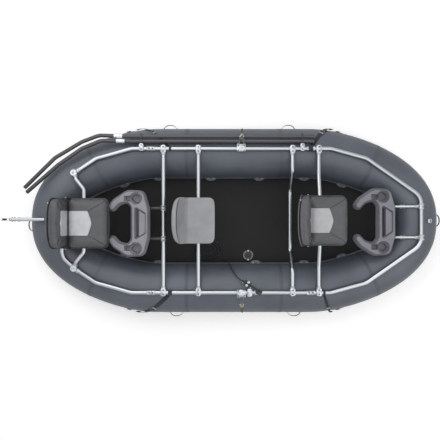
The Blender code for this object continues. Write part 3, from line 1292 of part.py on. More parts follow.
def make_rod_clamp(name, x):
    """A clamp plate that ties both rod tubes to the port rail."""
    top = RAIL_Z + ROD_TUBE_RADIUS + ROD_CLAMP_WALL
    low = RAIL_Z - ROD_TUBE_RADIUS - ROD_CLAMP_WALL
    inner = RAIL_Y - FITTING_RADIUS
    outer = ROD_OUTER_Y + ROD_TUBE_RADIUS + ROD_CLAMP_WALL
    section = rounded_outline([(inner, low), (outer, low), (outer, top), (inner, top)], ROD_TUBE_RADIUS)
    half = ROD_CLAMP_THICKNESS / 2
    clamp = piece(name, loft([[(px, y, z) for y, z in section] for px in (x - half, x + half)]), "black_plastic")
    length = ROD_CLAMP_THICKNESS + 2 * OVERRUN
    start = x - half - OVERRUN
    cut(clamp, turned((start, RAIL_Y, RAIL_Z), (1, 0, 0), [(0.0, BORE_RADIUS), (length, BORE_RADIUS)]))
    for y in (ROD_INNER_Y, ROD_OUTER_Y):
        bore = [(0.0, ROD_TUBE_RADIUS + GAP), (length, ROD_TUBE_RADIUS + GAP)]
        cut(clamp, turned((start, y, RAIL_Z), (1, 0, 0), bore, ROD_SIDES + 2))


def make_strap(name, side, foot_x, rail_x, rail_radius, width):
    """A strap from the tube's outer side, up over it and round the rail."""
    half_step = math.radians(STRAP_LEAVE - STRAP_START) / STRAP_STEPS / 2
    reach = (TUBE_RADIUS + GAP + STRAP_THICKNESS / 2) / math.cos(half_step)
    centre_y = HULL_HALF_WIDTH - TUBE_RADIUS
    centre_z = TUBE_RADIUS * FLAT_SHARE
    section = []
    for step in range(STRAP_STEPS + 1):
        turn = math.radians(STRAP_START + (STRAP_LEAVE - STRAP_START) * step / STRAP_STEPS)
        section.append((centre_y + reach * math.cos(turn), centre_z + reach * math.sin(turn)))
    on_tube = len(section)
    half_step = math.radians(STRAP_WRAP_END - STRAP_WRAP_START) / STRAP_STEPS / 2
    loop = (rail_radius + GAP + STRAP_THICKNESS / 2) / math.cos(half_step)
    for step in range(STRAP_STEPS + 1):
        turn = math.radians(STRAP_WRAP_START + (STRAP_WRAP_END - STRAP_WRAP_START) * step / STRAP_STEPS)
        section.append((RAIL_Y + loop * math.cos(turn), RAIL_Z + loop * math.sin(turn)))
    rings = []
    for index, (y, z) in enumerate(section):
        before = Vector(section[max(index - 1, 0)])
        after = Vector(section[min(index + 1, len(section) - 1)])
        along = (after - before).normalized()
        share = min(index / on_tube, 1.0)
        x = foot_x + (rail_x - foot_x) * share
        thin = STRAP_THICKNESS / 2
        ring = []
        for across, out in ((-width / 2, -thin), (width / 2, -thin), (width / 2, thin), (-width / 2, thin)):
            ring.append((x + across, side * (y + along.y * out), z - along.x * out))
        rings.append(ring)
    piece(name, loft(rings), "black_webbing")


def smooth_route(points, spacing):
    """Even steps along a smooth curve through a route's points."""
    route = [Vector(point) for point in points]
    padded = [2 * route[0] - route[1]] + route + [2 * route[-1] - route[-2]]
    fine = []
    for a, b, c, d in zip(padded, padded[1:], padded[2:], padded[3:]):
        for step in range(ROUTE_STEPS):
            t = step / ROUTE_STEPS
            bend = (2 * a - 5 * b + 4 * c - d) * t**2 + (3 * b - a - 3 * c + d) * t**3
            fine.append((2 * b + (c - a) * t + bend) / 2)
    fine.append(route[-1])
    evened = [fine[0]]
    for point in fine:
        if (point - evened[-1]).length >= spacing:
            evened.append(point)
    evened[-1] = fine[-1]
    return evened


def rope_object(name, path, resolution):
    """A rope as a curve with a round bevel and closed ends."""
    curve = bpy.data.curves.new(name, "CURVE")
    curve.dimensions = "3D"
    curve.bevel_depth = ROPE_RADIUS
    curve.bevel_resolution = resolution
    curve.use_fill_caps = True
    spline = curve.splines.new("POLY")
    spline.points.add(len(path) - 1)
    for point, place in zip(spline.points, path):
        point.co = (*place, 1.0)
    made = bpy.data.objects.new(name, curve)
    made.data.materials.append(finish_of(name, "rope"))
    bpy.context.scene.collection.objects.link(made)
    return made


def coil_path():
    """Loose loops on the floor: one layer spirals in, climbs, and the next spirals out again."""
    low = FLOOR_THICKNESS + GAP + ROPE_RADIUS
    rise = 2 * ROPE_RADIUS + COIL_CLEARANCE
    steps = COIL_LOOPS * COIL_POINTS
    climb = COIL_POINTS // 2
    path = []
    for step in range(2 * steps + climb + 1):
        share = min(step, 2 * steps + climb - step, steps) / COIL_POINTS
        level = min(max((step - steps) / climb, 0.0), 1.0)
        radius = COIL_OUTER_RADIUS - COIL_PITCH * share
        turn = math.radians(COIL_START_TURN) - 2 * math.pi * step / COIL_POINTS
        x = COIL_X + COIL_STRETCH * radius * math.cos(turn)
        y = COIL_Y + radius * math.sin(turn)
        path.append(Vector((x, y, low + rise * level)))
    first = (path[0] - path[1]).normalized()
    last = (path[-1] - path[-2]).normalized()
    straight = 2 * ROPE_RADIUS
    return [path[0] + first * straight] + path + [path[-1] + last * straight]


def least_gap(path):
    """The least clear space between stretches of a coil that are not neighbours along it."""
    least = math.inf
    reach = COIL_POINTS // 3
    for index, point in enumerate(path):
        for other in path[index + reach:]:
            least = min(least, (other - point).length - 2 * ROPE_RADIUS)
    return least


def make_anchor_rope():
    """The rope's run from the fairlead over the cleat to the floor, and its loose loops there."""
    middle, along, _ = rope_line()
    coil = coil_path()
    print(f"anchor_rope_coil: least gap to itself {least_gap(coil) / MILLIMETRE:.2f} mm")
    rope_object("anchor_rope_coil", coil, 1)
    start = middle + along * (DECK_PULLEY_REACH + DECK_SHEAVE_RADIUS + FAIRLEAD_LENGTH / 2 - GAP)
    entry = (coil[0] - coil[1]).normalized()
    landing = coil[0] + entry * GAP
    route = [start, middle + along * CLEAT_LENGTH, middle, middle - along * (CLEAT_LENGTH / 2)]
    route += [Vector(point) for point in ROPE_ROUTE] + [landing + entry * (4 * ROPE_RADIUS), landing]
    rope_object("anchor_rope_run", smooth_route(route, ROPE_SPACING), 2)


def make_raft():
    """Every piece of the raft."""
    stations = tube_stations()
    make_hull_tube(stations)
    make_floor(stations)
    make_lacing_flange(stations)
    make_floor_valve()
    make_handles(stations)
    make_stern_rails()
    make_center_rails()
    make_bow_rail()
    make_crossbars()
    make_arm_clamp()
    make_fishing_seat("bow_seat", BOW_SEAT_BAR_X, 0.0)
    make_fishing_seat("stern_seat", STERN_SEAT_BAR_SHARES[-1][0] * HULL_TIP_X, STERN_SEAT_Y)
    make_rower_seat()
    make_tray("bow_tray", BOW_TRAY_BACK_X, BOW_TRAY_Y, BOW_TRAY_TOP)
    make_tray("stern_tray", STERN_TRAY_BACK_X, STERN_TRAY_Y, STERN_TRAY_TOP)
    for side, name in ((1, "port"), (-1, "starboard")):
        make_oar_stand(f"oar_stand_{name}", side)
        make_oarlock(f"oarlock_{name}", side)
    make_anchor_arm()
    make_cleat()
    make_deck_pulley()
    make_rod_tube("rod_tube_inner", ROD_INNER_Y)
    make_rod_tube("rod_tube_outer", ROD_OUTER_Y)
    make_rod_tip("rod_tip_inner", ROD_INNER_Y, ROD_INNER_KNEE_SHARES, ROD_COUPLER_INNER_X)
    make_rod_tip("rod_tip_outer", ROD_OUTER_Y, ROD_OUTER_KNEE_SHARES, ROD_COUPLER_OUTER_X)
    make_rod_clamp("rod_clamp_aft", ROD_CLAMP_AFT_X)
    make_rod_clamp("rod_clamp_fore", ROD_CLAMP_FORE_X)
    make_strap("strap_port_aft", 1, STRAP_FOOT_AFT, STRAP_RAIL_AFT, PIPE_RADIUS, STRAP_NARROW)
    make_strap("strap_port_fore", 1, STRAP_FOOT_FORE, STRAP_RAIL_PORT_FORE, COUPLER_RADIUS, STRAP_WIDE)
    make_strap("strap_starboard_aft", -1, STRAP_FOOT_AFT, STRAP_RAIL_AFT, PIPE_RADIUS, STRAP_WIDE)
    make_strap("strap_starboard_fore", -1, STRAP_FOOT_FORE, STRAP_RAIL_STARBOARD_FORE, PIPE_RADIUS, STRAP_NARROW)
    make_anchor_rope()


def main():
    for made in list(bpy.data.objects):
        bpy.data.objects.remove(made)
    make_raft()


if __name__ == "__main__":
    main()
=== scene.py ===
"""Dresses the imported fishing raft: an add-on whose operators build each group of its visible pieces."""

import json
import math

import bmesh
import bpy
from mathutils import Matrix, Vector, noise
from mathutils.bvhtree import BVHTree

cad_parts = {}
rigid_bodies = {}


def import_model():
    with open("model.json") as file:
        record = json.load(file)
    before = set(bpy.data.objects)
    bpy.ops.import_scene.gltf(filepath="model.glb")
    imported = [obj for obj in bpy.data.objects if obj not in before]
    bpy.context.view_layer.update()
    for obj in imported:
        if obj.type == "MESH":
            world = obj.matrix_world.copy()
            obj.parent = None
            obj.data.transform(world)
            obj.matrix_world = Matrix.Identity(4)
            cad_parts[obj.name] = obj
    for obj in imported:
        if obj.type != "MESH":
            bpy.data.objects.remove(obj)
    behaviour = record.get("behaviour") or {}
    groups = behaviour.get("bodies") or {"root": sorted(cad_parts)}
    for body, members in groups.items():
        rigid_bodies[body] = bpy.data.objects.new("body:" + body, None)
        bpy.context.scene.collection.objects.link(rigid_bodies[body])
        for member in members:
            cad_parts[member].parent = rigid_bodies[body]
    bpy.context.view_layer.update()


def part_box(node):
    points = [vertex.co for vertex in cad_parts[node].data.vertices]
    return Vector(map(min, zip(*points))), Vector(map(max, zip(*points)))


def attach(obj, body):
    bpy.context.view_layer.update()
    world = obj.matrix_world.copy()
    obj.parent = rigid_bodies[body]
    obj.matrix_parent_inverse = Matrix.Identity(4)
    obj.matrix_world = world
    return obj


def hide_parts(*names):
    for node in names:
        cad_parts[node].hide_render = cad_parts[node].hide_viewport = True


bl_info = {
    "name": "Fishing Raft",
    "version": (1, 0, 0),
    "blender": (4, 5, 0),
    "location": "View3D > Sidebar > Raft",
    "description": "Builds the tube, floor, frame, seats and fittings of an inflatable fishing raft",
    "category": "Object",
}

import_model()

# The hull's outline, as in the solids: a straight middle with a rounded end on each side (metres)
HALF_STRAIGHT = 0.75
END_REACH = 1.193
HALF_WIDTH = 0.90
END_POWER = 1.7
SIDE_POWER = 2.25

# The tube gets thinner and rises towards both ends (metres)
TUBE_RADIUS = 0.24
TUBE_SIDES = 24
TUBE_TAPER = 0.04
TAPER_START = 1.0
TAPER_END = 1.743
BOW_RISE = 0.16
STERN_RISE = 0.14

# The frame: its rails' place, its raised seat bars, and its pipes' and sleeves' radii (metres)
RAIL_Y = 0.675
RAIL_Z = 0.5022
BAR_Z = 0.5522
PIPE_RADIUS = 0.020
TRAY_ARM_RADIUS = 0.014
COLLAR_RADIUS = 0.0252
CAP_LOW = RAIL_Z + 0.012
CAP_HIGH = RAIL_Z + 0.0305

# The corners and joints of its bent pipes, port half (metres)
STERN_BEND = (-1.296, 0.5792, 0.5143)
STERN_CORNER = (-1.4903, 0.4442, 0.531)
SEAT_BEND = (-1.4709, 0.3848, BAR_Z)
TRAY_BEND = (1.7254, 0.583)
BOW_TRAY_ARMS = (-0.157, 0.131)
STERN_TRAY_ARMS = (-0.171, 0.117)
BOW_RAIL = ((0.718, RAIL_Y, RAIL_Z), (0.9054, RAIL_Y, RAIL_Z), (1.2396, 0.5819, 0.5125),
            (TRAY_BEND[0], 0.2228, TRAY_BEND[1]))
STERN_RAIL = ((-0.78, RAIL_Y, RAIL_Z), (-0.963, RAIL_Y, RAIL_Z), STERN_BEND, STERN_CORNER)
SEAT_BAR = (STERN_CORNER, SEAT_BEND, (-1.396, 0.2903, BAR_Z))
ANCHOR_RAIL = ((-1.5835, -0.351, BAR_Z), (-1.6001, -0.2903, BAR_Z), (-1.6001, 0.06, BAR_Z))
TRAY_CROSSBAR_X = -0.663
TEE_BARS = ((TRAY_CROSSBAR_X, "tray_crossbar"), (-0.335, "rower_crossbar"), (0.548, "foot_bar"),
            (0.795, "bow_seat_crossbar"))

# The folding seats: the back's hinge line behind the seat's middle, the panel's rear edge, the back's top
SEAT_HINGE = 0.131
SEAT_PANEL_REAR = -0.112
SEAT_BACK_TOP = 0.9048

# The anchor rope: its straight pull through the cleat, then its way down to the loops on the floor (metres)
CLEAT = Vector((0.125, -0.59, 0.5375))
CLEAT_CLAMP_X = 0.145
PULL_TURN = math.radians(-31.0)
PULL_ALONG = Vector((math.cos(PULL_TURN), math.sin(PULL_TURN), 0.0))
PULL_BESIDE = Vector((-PULL_ALONG.y, PULL_ALONG.x, 0.0))
ROPE_ROUTE = ((0.044, -0.545, 0.518), (0.002, -0.495, 0.455), (-0.034, -0.436, 0.372), (-0.052, -0.402, 0.27),
              (-0.066, -0.386, 0.180), (-0.100, -0.390, 0.141))
ROPE_RADIUS = 0.005
COIL_CENTRE = (-0.25, -0.285)
FAIRLEAD_REACH = 0.131

# The anchor arm's axis and its clamp's place (metres)
ARM_X, ARM_Y, ARM_Z = -1.6001, 0.01, 0.5587

# Tie-down rings: place along the boat, side, and degrees up from the tube's outermost line
D_RING_PLACES = ((0.965, 1, 4.0), (0.975, -1, 4.0), (-0.955, 1, 4.0), (-0.955, -1, 4.0))

# Carry handles: node, outward direction and place along the tube's side there
HANDLES = (
    ("carry_handle_port_aft", (0.0, 1.0), -0.62),
    ("carry_handle_port_fore", (0.0, 1.0), 0.54),
    ("carry_handle_starboard_aft", (0.0, -1.0), -0.56),
    ("carry_handle_starboard_fore", (0.0, -1.0), 0.595),
    ("carry_handle_bow", (1.0, 0.0), 0.0),
    ("carry_handle_stern", (-1.0, 0.0), -0.045),
)

# Lobes of the lacing flange: place along the boat and side
LOBE_PLACES = ((-0.74, 1), (-0.235, 1), (0.245, 1), (0.70, 1), (-0.74, -1), (0.225, -1), (0.70, -1),
               (-1.18, 1), (-1.18, -1), (1.15, 1), (1.15, -1))

# Straps: node, side, place of the foot and at the rail, radius that it goes round there, width
STRAPS = (
    ("strap_port_aft", 1, -0.954, -0.60, 0.020, 0.022),
    ("strap_port_fore", 1, 0.975, 0.720, 0.025, 0.038),
    ("strap_starboard_aft", -1, -0.954, -0.60, 0.020, 0.038),
    ("strap_starboard_fore", -1, 0.975, 0.845, 0.020, 0.022),
)

# Rod tips: node, place across, bends (as shares of the hull's half length and of the place across), coupler
ROD_TIPS = (
    ("rod_tip_inner", 0.745, ((-0.642, 1.008), (-0.735, 0.908), (-0.848, 0.705), (-1.004, 0.350)), -1.066),
    ("rod_tip_outer", 0.790, ((-0.652, 1.012), (-0.735, 0.935), (-0.865, 0.745), (-1.014, 0.385)), -1.087),
)

# The camera: straight above the deck (metres), with its lens and sensor (millimetres)
CAMERA_PLACE = (-0.132, 0.005, 5.7)
LENS = 45.3
SENSOR_WIDTH = 36.0

UP = (0.0, 0.0, 1.0)
AHEAD = (1.0, 0.0, 0.0)
TO_PORT = (0.0, 1.0, 0.0)
FINISHES = {}


# Materials


def linear(code):
    """A hex colour as linear red, green and blue."""
    parts = [int(code[index:index + 2], 16) / 255 for index in (1, 3, 5)]
    return tuple(part / 12.92 if part <= 0.04045 else ((part + 0.055) / 1.055) ** 2.4 for part in parts)


def add_node(tree, kind, values=None, links=None, **settings):
    """A node with its settings, its sockets' values and its incoming links."""
    node = tree.nodes.new(kind)
    for name, value in settings.items():
        setattr(node, name, value)
    for socket, value in (values or {}).items():
        node.inputs[socket].default_value = value
    for socket, source in (links or {}).items():
        tree.links.new(source, node.inputs[socket])
    return node


def new_material(name, color, roughness, metallic=0.0):
    """A material with a Principled shader at these values, its tree and its shader."""
    made = bpy.data.materials.new(name)
    made.use_nodes = True
    shader = made.node_tree.nodes["Principled BSDF"]
    shader.inputs["Base Color"].default_value = (*linear(color), 1.0)
    shader.inputs["Roughness"].default_value = roughness
    shader.inputs["Metallic"].default_value = metallic
    return made, made.node_tree, shader


def textured(name, color, roughness, metallic=0.0, scale=(1.0, 1.0, 1.0)):
    """A new material, its tree and shader, and the object coordinates that its patterns lie on."""
    made, tree, shader = new_material(name, color, roughness, metallic)
    coordinates = add_node(tree, "ShaderNodeTexCoord").outputs["Object"]
    mapping = add_node(tree, "ShaderNodeMapping", {"Scale": scale}, {"Vector": coordinates})
    return made, tree, shader, mapping.outputs["Vector"]


def noise_at(tree, place, scale, detail=2.0):
    """The height of a noise pattern."""
    made = add_node(tree, "ShaderNodeTexNoise", {"Scale": scale, "Detail": detail}, {"Vector": place})
    return made.outputs["Fac"]


def cells_at(tree, place, scale, randomness=1.0):
    """The height of a pattern of round cells."""
    made = add_node(tree, "ShaderNodeTexVoronoi", {"Scale": scale, "Randomness": randomness},
                    {"Vector": place})
    return made.outputs["Distance"]


def mottle(tree, shader, place, dark, light, scale):
    """Uneven colour between two tones, in soft patches."""
    clouds = noise_at(tree, place, scale, 4.0)
    ramp = add_node(tree, "ShaderNodeValToRGB", links={"Fac": clouds})
    for element, position, tone in zip(ramp.color_ramp.elements, (0.35, 0.65), (dark, light)):
        element.position = position
        element.color = (*linear(tone), 1.0)
    tree.links.new(ramp.outputs["Color"], shader.inputs["Base Color"])
    return clouds


def rough_between(tree, shader, source, low, high):
    """Roughness that follows a pattern."""
    spread = add_node(tree, "ShaderNodeMapRange", {"To Min": low, "To Max": high}, {"Value": source})
    tree.links.new(spread.outputs["Result"], shader.inputs["Roughness"])


def relief(tree, shader, height, depth, strength=1.0, before=None):
    """A bump of a depth in metres, on top of an earlier one."""
    links = {"Height": height}
    if before:
        links["Normal"] = before.outputs["Normal"]
    bump = add_node(tree, "ShaderNodeBump", {"Distance": depth, "Strength": strength}, links)
    tree.links.new(bump.outputs["Normal"], shader.inputs["Normal"])
    return bump


def weave(tree, place, spacing):
    """The over-and-under height of a plain weave with this thread spacing."""
    across, along = (
        add_node(tree, "ShaderNodeTexWave", {"Scale": 0.314 / spacing}, {"Vector": place},
                 bands_direction=axis)
        for axis in "XY")
    return add_node(tree, "ShaderNodeMath", None, {0: across.outputs["Fac"], 1: along.outputs["Fac"]},
                    operation="MAXIMUM").outputs["Value"]


def hull_fabric(color):
    """Calendered PVC on polyester cloth: satin grey, a little uneven, with the cloth faint under its skin."""
    made, tree, shader, place = textured("pvc_coated_fabric_calendered", darker(color, 1.0), 0.42)
    clouds = mottle(tree, shader, place, darker(color, 0.86), darker(color, 1.14), 3.0)
    rough_between(tree, shader, clouds, 0.36, 0.50)
    soft = relief(tree, shader, noise_at(tree, place, 9.0), 0.004, 0.35)
    relief(tree, shader, weave(tree, place, 0.003), 0.0003, 0.5, soft)
    return made


def seam_fabric(name, color):
    """The same coated cloth cut as tape or patch and welded on: flatter and a little duller than the tube."""
    made, tree, shader, place = textured(name, color, 0.5)
    relief(tree, shader, noise_at(tree, place, 260.0), 0.0004, 0.6)
    return made


def floor_fabric(color):
    """Drop-stitch PVC, laminated: near-black and matte, with the thread ends drawn as small dimples."""
    made, tree, shader, place = textured("drop_stitch_fabric_laminated", darker(color, 1.0), 0.62)
    shader.inputs["Specular IOR Level"].default_value = 0.22
    clouds = mottle(tree, shader, place, darker(color, 0.8), darker(color, 1.25), 6.0)
    rough_between(tree, shader, clouds, 0.52, 0.70)
    soft = relief(tree, shader, cells_at(tree, place, 110.0, 0.35), 0.0012, 0.5)
    relief(tree, shader, weave(tree, place, 0.0025), 0.0003, 0.4, soft)
    return made


def bright_aluminium():
    """Extruded aluminium pipe, polished: bright, with fine die lines drawn out along it."""
    made, tree, shader, place = textured("aluminium_pipe_polished", "#a7aaae", 0.28, 1.0)
    lines = noise_at(tree, place, 420.0)
    rough_between(tree, shader, lines, 0.20, 0.34)
    relief(tree, shader, lines, 0.0001, 0.35)
    return made


def cast_aluminium(name, dark, light):
    """Cast aluminium fittings, tumbled: softer shine and a fine pebbled skin, darker in the low spots."""
    made, tree, shader, place = textured(name, light, 0.4, 1.0)
    rough_between(tree, shader, mottle(tree, shader, place, dark, light, 60.0), 0.32, 0.48)
    relief(tree, shader, noise_at(tree, place, 500.0, 3.0), 0.0003, 0.5)
    return made


def zinc_steel():
    """Zinc-plated steel screws, formed cold: small, bright and a little grey."""
    made, tree, shader, place = textured("steel_screw_zinc_plated", "#a9adb2", 0.34, 1.0)
    rough_between(tree, shader, noise_at(tree, place, 300.0), 0.25, 0.45)
    return made


def blackened_steel():
    """Steel set screws, blackened in oxide: dark, with a low oily shine."""
    made, tree, shader, place = textured("steel_screw_blackened", "#3b3d40", 0.38, 1.0)
    rough_between(tree, shader, noise_at(tree, place, 300.0), 0.3, 0.5)
    return made


def black_enamel():
    """Powder-coated metal: black, with the coat's slight orange peel."""
    made, tree, shader, place = textured("metal_powder_coated", "#202124", 0.42)
    peel = noise_at(tree, place, 340.0, 1.0)
    rough_between(tree, shader, peel, 0.34, 0.5)
    relief(tree, shader, peel, 0.0003, 0.4)
    return made


def moulded_plastic(name, dark, light, grain, roughness):
    """Moulded plastic with a fine spark-eroded grain and slightly cloudy colour."""
    made, tree, shader, place = textured(name, light, roughness)
    clouds = mottle(tree, shader, place, dark, light, 9.0)
    rough_between(tree, shader, clouds, roughness - 0.06, roughness + 0.08)
    relief(tree, shader, cells_at(tree, place, 1.0 / grain), 0.0004, 0.45)
    return made


def rod_plastic():
    """ABS tube, extruded: black and glossy, with faint lines along its length."""
    made, tree, shader, place = textured("abs_tube_extruded", "#3a3a3f", 0.24, scale=(0.05, 1.0, 1.0))
    lines = noise_at(tree, place, 300.0)
    rough_between(tree, shader, lines, 0.18, 0.32)
    relief(tree, shader, lines, 0.0002, 0.3)
    return made


def seat_vinyl(name, dark, light):
    """Marine vinyl on knit cloth, embossed: a leather-like pebble with soft shine on its high spots."""
    made, tree, shader, place = textured(name, light, 0.5)
    rough_between(tree, shader, mottle(tree, shader, place, dark, light, 14.0), 0.44, 0.60)
    soft = relief(tree, shader, noise_at(tree, place, 34.0, 3.0), 0.0016, 0.35)
    relief(tree, shader, cells_at(tree, place, 620.0), 0.0004, 0.6, soft)
    return made


def webbing(name, dark, light):
    """Webbing, woven: ribs across the band and a dry, matte face."""
    made, tree, shader, place = textured(name, light, 0.8)
    mottle(tree, shader, place, dark, light, 120.0)
    shader.inputs["Sheen Weight"].default_value = 0.15
    relief(tree, shader, weave(tree, place, 0.0022), 0.0006, 0.7)
    return made


def cast_brass():
    """Cast brass, satin: warm yellow with brown in the hollows."""
    made, tree, shader, place = textured("brass_oarlock_cast", "#a0957c", 0.34, 1.0)
    rough_between(tree, shader, mottle(tree, shader, place, "#6f664f", "#aca083", 55.0), 0.28, 0.45)
    relief(tree, shader, noise_at(tree, place, 420.0), 0.0003, 0.4)
    return made


def braided_rope():
    """Braided polyester line: black, its crossing strands drawn coarse enough to show."""
    made, tree, shader, place = textured("polyester_rope_braided", "#1b1c1e", 0.75)
    mottle(tree, shader, place, "#131416", "#2b2d30", 500.0)
    strands = add_node(tree, "ShaderNodeTexWave", {"Scale": 110.0, "Distortion": 3.0}, {"Vector": place},
                       bands_direction="DIAGONAL")
    relief(tree, shader, strands.outputs["Fac"], 0.001, 0.7)
    return made


def darker(color, share):
    """A hex code for a linear colour made darker or lighter by a share."""
    code = "#"
    for part in color[:3]:
        part = min(part * share, 1.0)
        part = part * 12.92 if part <= 0.0031308 else 1.055 * part ** (1 / 2.4) - 0.055
        code += f"{round(part * 255):02x}"
    return code


def make_finishes(settings):
    """Every material, with the colours that the settings give."""
    hull, floor, vinyl = settings.hull_color, settings.floor_color, settings.vinyl_color
    FINISHES.update({
        "hull": hull_fabric(hull),
        "tape": seam_fabric("pvc_seam_tape_welded", darker(hull, 0.78)),
        "patch": seam_fabric("pvc_patch_welded", darker(hull, 0.68)),
        "flange": seam_fabric("pvc_lacing_flange_cut", darker(hull, 1.15)),
        "lobe": seam_fabric("pvc_flange_lobe_cut", darker(hull, 1.25)),
        "floor": floor_fabric(floor),
        "pipe": bright_aluminium(),
        "cast": cast_aluminium("aluminium_fitting_cast", "#868a8f", "#bfc3c7"),
        "bright": cast_aluminium("aluminium_coupler_turned", "#c3c6ca", "#d9dbde"),
        "screw": zinc_steel(),
        "socket": blackened_steel(),
        "enamel": black_enamel(),
        "arm": moulded_plastic("nylon_sleeve_extruded", "#3c3d3b", "#4a4b48", 0.0012, 0.4),
        "black": moulded_plastic("nylon_fitting_moulded", "#151618", "#1f2023", 0.0012, 0.45),
        "rod": rod_plastic(),
        "seat": seat_vinyl("marine_vinyl_dark_embossed", darker(vinyl, 0.85), darker(vinyl, 1.1)),
        "stern_panel": panel_vinyl("marine_vinyl_light_embossed", settings.stern_panel_color),
        "bow_panel": panel_vinyl("marine_vinyl_grey_embossed", settings.bow_panel_color),
        "shell": moulded_plastic("polypropylene_shell_moulded", "#2e2f32", "#393a3d", 0.0012, 0.5),
        "rower": rotomoulded("polyethylene_seat_rotomoulded", settings.rower_seat_color, 0.88, 1.06, 0.5),
        "stern_tray": rotomoulded("polyethylene_brace_pale_rotomoulded", settings.stern_tray_color,
                                  0.88, 1.04, 0.45),
        "bow_tray": rotomoulded("polyethylene_brace_grey_rotomoulded", settings.bow_tray_color,
                                0.9, 1.06, 0.45),
        "brass": cast_brass(),
        "valve": moulded_plastic("nylon_button_moulded", "#cfd0d2", "#e2e3e5", 0.0012, 0.4),
        "valve_inlay": moulded_plastic("nylon_valve_ring_moulded", "#7a7b7d", "#8d8e90", 0.0012, 0.4),
        "webbing": webbing("polyester_webbing_grey_woven", "#82858a", "#999ca1"),
        "strap": webbing("nylon_webbing_black_woven", "#141517", "#222427"),
        "rope": braided_rope(),
    })


def panel_vinyl(name, color):
    """The pads' paler vinyl, in the colour that the settings give."""
    return seat_vinyl(name, darker(color, 0.92), darker(color, 1.05))


def rotomoulded(name, color, low, high, roughness):
    """Rotomoulded polyethylene: a slightly coarser grain than injected plastic."""
    return moulded_plastic(name, darker(color, low), darker(color, high), 0.0016, roughness)


# Pieces and meshes


def in_scene(name, data):
    """A new object with this data, linked to the scene."""
    made = bpy.data.objects.new(name, data)
    bpy.context.scene.collection.objects.link(made)
    return made


def mesh_of(shape, name):
    """A bmesh written to a new mesh; the bmesh itself goes."""
    mesh = bpy.data.meshes.new(name)
    shape.to_mesh(mesh)
    shape.free()
    return mesh


def box_of(node):
    """The lowest corner, the highest corner and the middle of a CAD node's box."""
    low, high = (Vector(corner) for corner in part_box(node))
    return low, high, (low + high) / 2


def finished(shape, name, finish, body="frame", replaces=(), smooth=40.0):
    """A bmesh made into a piece: its normals turned out, its finish given, riding on its body."""
    bmesh.ops.remove_doubles(shape, verts=shape.verts, dist=0.00005)
    bmesh.ops.recalc_face_normals(shape, faces=shape.faces)
    return dressed(mesh_of(shape, name), name, finish, body, replaces, smooth)


def dressed(mesh, name, finish, body="frame", replaces=(), smooth=40.0):
    """A mesh placed in the scene as a piece, with its finish, its body and the nodes that it stands for."""
    if not mesh.materials:
        mesh.materials.append(FINISHES[finish])
    mesh.shade_smooth()
    if smooth < 180.0:
        mesh.set_sharp_from_angle(angle=math.radians(smooth))
    made = in_scene(name, mesh)
    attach(made, body)
    if replaces:
        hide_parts(*replaces)
    return made


def loft(shape, rings, looped=False):
    """Skins a run of equal rings; open runs are closed at both ends."""
    rows = [[shape.verts.new(point) for point in ring] for ring in rings]
    pairs = list(zip(rows, rows[1:])) + ([(rows[-1], rows[0])] if looped else [])
    for near, far in pairs:
        for index in range(len(near)):
            after = (index + 1) % len(near)
            shape.faces.new((near[index], near[after], far[after], far[index]))
    if not looped:
        shape.faces.new(list(reversed(rows[0])))
        shape.faces.new(rows[-1])


def side_of(along, hint=UP):
    """Two directions square to a line, the first one leaning towards a hint."""
    along = Vector(along).normalized()
    first = Vector(hint) - along * along.dot(Vector(hint))
    if first.length < 0.001:
        first = along.orthogonal()
    first.normalize()
    return first, along.cross(first)


def filleted(points, radius, steps=8):
    """A route whose corners are rounded to a radius."""
    points = [Vector(point) for point in points]
    route = [points[0]]
    for before, corner, after in zip(points, points[1:], points[2:]):
        towards, away = (before - corner).normalized(), (after - corner).normalized()
        half = math.acos(max(-1.0, min(1.0, towards.dot(away)))) / 2
        reach = min(radius / math.tan(half), (before - corner).length / 2, (after - corner).length / 2)
        start, end = corner + towards * reach, corner + away * reach
        for step in range(steps + 1):
            share = step / steps
            route.append(start.lerp(corner, share).lerp(corner.lerp(end, share), share))
    route.append(points[-1])
    return route


def filleted_loop(corners, radius, steps=5):
    """A closed flat outline with rounded corners."""
    outline = []
    count = len(corners)
    for index in range(count):
        before, corner, after = (Vector(corners[(index + shift) % count]) for shift in (-1, 0, 1))
        towards, away = (before - corner).normalized(), (after - corner).normalized()
        reach = min(radius, (before - corner).length / 2, (after - corner).length / 2)
        for step in range(steps + 1):
            share = step / steps
            a, b = corner + towards * reach, corner + away * reach
            outline.append(a.lerp(corner, share).lerp(corner.lerp(b, share), share))
    return outline


def swept(shape, route, section, up=UP, looped=False):
    """A section of (aside, upward) places carried along a route; it may be a function of the share along."""
    route = [Vector(point) for point in route]
    count = len(route)
    rings = []
    for index, point in enumerate(route):
        before = route[(index - 1) % count] if looped else route[max(index - 1, 0)]
        after = route[(index + 1) % count] if looped else route[min(index + 1, count - 1)]
        upward, aside = side_of(after - before, up)
        places = section(index / max(count - 1, 1)) if callable(section) else section
        rings.append([point + aside * x + upward * y for x, y in places])
    loft(shape, rings, looped)


def disc(radius, sides=24):
    """Places round a circle."""
    turns = [2 * math.pi * side / sides for side in range(sides)]
    return [(radius * math.cos(turn), radius * math.sin(turn)) for turn in turns]


def rectangle(low_x, low_y, high_x, high_y):
    """The four corners of a flat rectangle."""
    return [(low_x, low_y), (high_x, low_y), (high_x, high_y), (low_x, high_y)]


def oblong(half_width, half_height):
    """The corners of a flat bar's section."""
    return rectangle(-half_width, -half_height, half_width, half_height)


def pipe(shape, route, radius=PIPE_RADIUS, sides=32):
    """A round bar along a route."""
    swept(shape, route, disc(radius, sides))


